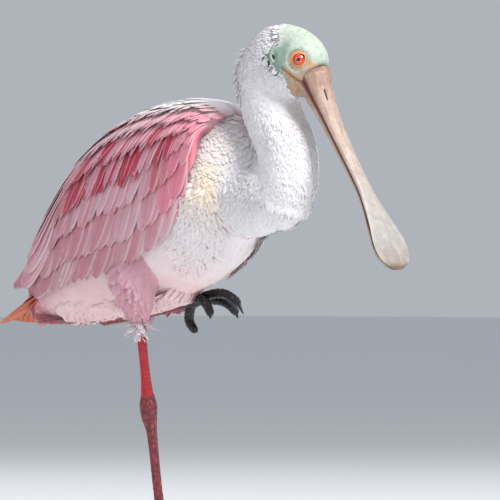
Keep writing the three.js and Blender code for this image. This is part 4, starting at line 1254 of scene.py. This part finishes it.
class SPOONBILL_OT_eyes(bpy.types.Operator):
    """Eyes with lids, and the rims of the ears"""
    bl_idname = "spoonbill.eyes"
    bl_label = "Eyes, lids and ears"

    def execute(self, context):
        eyes, lids = eye_material(), bare_material("Lid", (0.60, 0.33, 0.15))
        # The ear's hollow is painted near black as shade
        rims, black = (bare_material("Ear rim", (0.36, 0.42, 0.34)),
                       bare_material("Ear hollow", (0.01, 0.012, 0.012)))
        for name, side in (("eye_right", -1), ("eye_left", 1)):
            centre, out, ahead, up = eye_frame(side)
            polar = np.linspace(0.02, np.pi - 0.02, 48)[:, None]
            turn = turns(56)[None]
            flat = ahead * np.cos(turn)[..., None] + up * np.sin(turn)[..., None]
            ball = centre + EYE_RADIUS * (flat * np.sin(polar)[..., None] + out * np.cos(polar)[..., None])
            ring = np.r_[np.repeat(EYE_RADIUS * np.sin(polar.ravel()), 56), 0, 0]
            behind = np.r_[np.repeat(np.cos(polar.ravel()) < 0, 56), False, True]
            marks = {"Ring": np.where(behind, EYE_RADIUS, ring)}
            dress_rings(name + "_ball", ball, eyes, "eye", name, marks=marks)
            lid = ring_round(centre, out, ahead, up, LID_PROFILE, 64, lid_reach)
            dress(make_object(name + "_lids", *lid, lids), "head_skin")
            ear = head_point(EAR_SEAT[0], side * EAR_SEAT[1], EAR_SEAT[2]).ravel()
            slant = unit(UP * 0.93 - HEAD_AHEAD * 0.36)
            across = np.cross(out, slant) * -side
            rim = ring_round(ear, out, slant, across, EAR_PROFILE, 48, lambda a: 1 + 0.75 * np.cos(a) ** 2)
            dress(make_object(name.replace("eye", "ear") + "_rim", *rim, rims), "head_skin")
            # Painted shade: a near-black dome inside the ear's rim
            dome = [ear + out * h + (slant * np.cos(turn.T) * 2.7 + across * np.sin(turn.T) * 1.5) * r
                    for r, h in EAR_HOLLOW]
            dress_rings(name.replace("eye", "ear") + "_hollow", np.array(dome), black, "head_skin")
        return {"FINISHED"}


def scale_material(name, base, dark, size, light=None):
    """Scaly skin: cells with darker seams, mottled, with the relief of the scales; a light colour, when
    given, is a painted highlight on the middle of each cell.
    """
    material, tree, place = new_material(name)
    bent = add_node(tree, "ShaderNodeMapping", {}, {"Vector": place, "Scale": (1.0, 1.0, 0.62)})
    cells = add_node(tree, "ShaderNodeTexVoronoi", {"feature": "DISTANCE_TO_EDGE"},
                     {"Vector": bent, "Scale": size})
    blotch = noise(tree, place, 160.0, 4.0, 0.6)
    # Painted highlight: the light colour lightens the middle of each scale
    shade = mix_colour(tree, blotch.range(0.42, 0.72) * 0.7, base, dark)
    if light is not None:
        shade = mix_colour(tree, cells.range(0.2, 0.42) * 0.5, shade, light)
    shade = mix_colour(tree, (1 - cells.range(0.02, 0.12)) * 0.6, shade, tuple(0.5 * np.array(dark)))
    return finish_surface(material, shade, 0.42, cells.range(0.0, 0.25), 0.6, 0.0005, Specular_IOR_Level=0.45)


def scutes(count, low, front=0.0, height=0.22):
    """Ridges across a leg: steps by the part of its length, stronger on one side."""
    def flare(t, a):
        step = (t * count) % 1.0
        return height * (step**2 - 0.4) * (1 - low + low * np.cos(a - front) ** 2)
    return flare


class SPOONBILL_OT_legs(bpy.types.Operator):
    """Bare shanks, scaly ankles and tarsi, feet, toes and claws"""
    bl_idname = "spoonbill.legs"
    bl_label = "Legs and feet"

    def execute(self, context):
        red, dark, black = tuple(tint("leg_red")), tuple(tint("leg_dark")), tuple(tint("black"))
        # The last colour of each skin is a painted highlight on the middles of the scales
        shank = scale_material("Shank skin", red, (0.34, 0.012, 0.02), 520.0, (0.62, 0.04, 0.05))
        tarsus = scale_material("Tarsus skin", (0.26, 0.035, 0.045), dark, 330.0, (0.42, 0.10, 0.11))
        toe = scale_material("Toe skin", black, (0.006, 0.005, 0.006), 300.0, (0.15, 0.14, 0.14))
        claw = bare_material("Claw", (0.02, 0.017, 0.016), 0.3)

        def limb(name, stops, material, slot, node, rows, around, flare=None):
            dress_rings(name, round_ends(tube_grid(stops, rows, around, flare)), material, slot, node)

        for side, bare, joint in (("right", SHANK_RIGHT, TARSUS_RIGHT), ("left", SHANK_LEFT, TARSUS_LEFT)):
            limb(f"shank_{side}_skin", bare, shank, "leg_skin", f"shank_{side}", 70, 32, scutes(22, 0.5))
            limb(f"tarsus_{side}_skin", joint, tarsus, "leg_skin", f"tarsus_{side}", 120, 36, scutes(34, 0.6))
        limb("foot_left_skin", PAD_LEFT, toe, "foot_skin", "foot_left", 24, 28)
        for name, stops in HANGING_TOES.items():
            body = np.column_stack([np.array(stops, float), HANGING_GIRTH])
            grid = tube_grid(body, 90, 24, scutes(13, 0.2, 0, 0.5))[:66]
            dress_rings(f"toe_left_{name}_skin", round_ends(grid), toe, "foot_skin", f"toe_left_{name}")
            body[:, 3] = HANGING_CLAW
            dress_rings(f"claw_left_{name}", tube_grid(body, 90, 20)[60:], claw, "foot_skin")
        pad_edges = []
        for scale, height in PAD_RINGS:
            turn = np.linspace(-180, 180, 72, endpoint=False)
            near = np.min([np.abs(turn - TOE_ANGLES[k]) for k in ("inner", "middle", "outer")], axis=0)
            between = smooth(-46, -38, turn) * smooth(50, 42, turn)
            reach = (9.5 + (7.5 - 0.12 * near) * between) * scale
            a = np.radians(turn)
            pad_edges.append(np.stack([SOLE[0] + reach * np.cos(a), SOLE[1] + reach * np.sin(a),
                                       0 * a + height], -1))
        dress_rings("foot_right_skin", np.array(pad_edges), toe, "foot_skin", "foot_right")
        for name, length in TOE_LENGTHS.items():
            turn = math.radians(TOE_ANGLES[name])
            ahead = np.array([math.cos(turn), math.sin(turn), 0])
            aside = np.array([-ahead[1], ahead[0], 0])
            for kind, table, rows in (("toe", TOE_ROWS, 80), ("claw", CLAW_ROWS, 24)):
                part = np.linspace(max(table[0, 0], TOE_START / length), table[-1, 0], rows)
                wide, high = rows_at(table, part)
                ripple = 1 + (0.05 * (((part * length / 2.6) % 1) ** 2) if kind == "toe" else 0)
                a = np.linspace(0, np.pi, 20)
                centre = SOLE + ahead * (part * length)[:, None]
                grid = (centre[:, None]
                        + aside * (TOE_WIDE * wide * ripple)[:, None, None] * np.cos(a)[None, :, None])
                rise = (TOE_HIGH * high * ripple)[:, None] * np.clip(np.sin(a), 0, 1) ** 0.7
                grid = grid + UP * rise[..., None]
                nodes = [f"toe_right_{name}"] if kind == "toe" else []
                skin = toe if kind == "toe" else claw
                dress_rings(f"{kind}_right_{name}_skin", grid, skin, "foot_skin", *nodes)
        return {"FINISHED"}


class SPOONBILL_OT_tail(bpy.types.Operator):
    """Twelve tail feathers in a fan, and the coverts over and under them"""
    bl_idname = "spoonbill.tail"
    bl_label = "Tail"

    def execute(self, context):
        dice = np.random.default_rng(sizes().seed + 2)
        dip = math.radians(TAIL_DIP)
        pile = Pile()
        for layer, (count, long, wide, spread, rise, start, red) in enumerate(TAIL_LAYERS):
            across = np.linspace(-1, 1, count)
            turn = np.radians(spread * across)
            ahead = np.stack([-np.cos(turn) * math.cos(dip), np.sin(turn) * math.cos(dip),
                              -math.sin(dip) + 0 * turn], -1)
            out = unit(np.stack([-math.sin(dip) + 0 * turn, np.sin(np.radians(16 * across)),
                                 math.cos(dip) + 0 * turn], -1))
            length = long - 5 * across**2 + dice.normal(0, 0.8, count)
            root = np.stack([start + 0 * across, 7 * across,
                             TAIL_HEIGHT + (start - TAIL_ROOT) * 0.6 - 1.6 * np.abs(across)], -1)
            lift = 5 * (1 - np.abs(across)) * (layer == 0) + rise
            t = VANE_ROWS[None]
            line = root[:, None] + ahead[:, None] * (length[:, None] * t)[..., None]
            line = line + out[:, None] * (lift[:, None] * np.minimum(1, t / 0.25))[..., None]
            width = np.full(count, wide) * (1 + dice.normal(0, 0.03, count))
            directions = np.repeat(out[:, None], len(VANE_ROWS), axis=1)
            points, groups, local = blades(line, directions, width, VANE_SHAPE, wide_section(7), VANE_THICK,
                                           TAIL_CAMBER, TAIL_TILT)
            each = len(points) // count
            shade = blend(tint("tawny"), tint("carmine"), red)
            shade = np.clip(shade * (0.9 + 0.2 * dice.random((count, 1))), 0, 1)
            spot = np.stack([0.1 + 0.18 * layer + 0 * across, 0.5 + 0.45 * across], -1)
            pile.add(points, groups, local, np.repeat(shade, each, axis=0), bake_patch(spot, local, each))
        dress(pile.made("tail_vanes", vane_material("Tail feathers", 0.5)), "tail_feathers", "tail")
        return {"FINISHED"}


class SPOONBILL_PT_panel(bpy.types.Panel):
    """Settings and pieces of the spoonbill"""
    bl_idname = "SPOONBILL_PT_panel"
    bl_label = "Roseate spoonbill"
    bl_space_type = "VIEW_3D"
    bl_region_type = "UI"
    bl_category = "Spoonbill"

    def draw(self, context):
        for group in (context.scene.spoonbill_sizes, context.scene.spoonbill_stage,
                      context.scene.spoonbill_colours):
            box = self.layout.box()
            for name in group.__annotations__:
                box.prop(group, name)
        for piece in PIECES:
            self.layout.operator(piece.bl_idname)


PIECES = (SPOONBILL_OT_skin, SPOONBILL_OT_wings, SPOONBILL_OT_bill, SPOONBILL_OT_eyes, SPOONBILL_OT_legs,
          SPOONBILL_OT_tail, SPOONBILL_OT_stage)
GROUPS = {"spoonbill_sizes": SpoonbillSizes, "spoonbill_colours": SpoonbillColours,
          "spoonbill_stage": SpoonbillStage}


def register():
    for piece in (*GROUPS.values(), *PIECES, SPOONBILL_PT_panel):
        bpy.utils.register_class(piece)
    for name, group in GROUPS.items():
        setattr(bpy.types.Scene, name, PointerProperty(type=group))


def unregister():
    for name in GROUPS:
        delattr(bpy.types.Scene, name)
    for piece in (SPOONBILL_PT_panel, *reversed(PIECES), *GROUPS.values()):
        bpy.utils.unregister_class(piece)


def main():
    register()
    for piece in PIECES:
        group, name = piece.bl_idname.split(".")
        getattr(getattr(bpy.ops, group), name)()


if __name__ == "__main__":
    main()
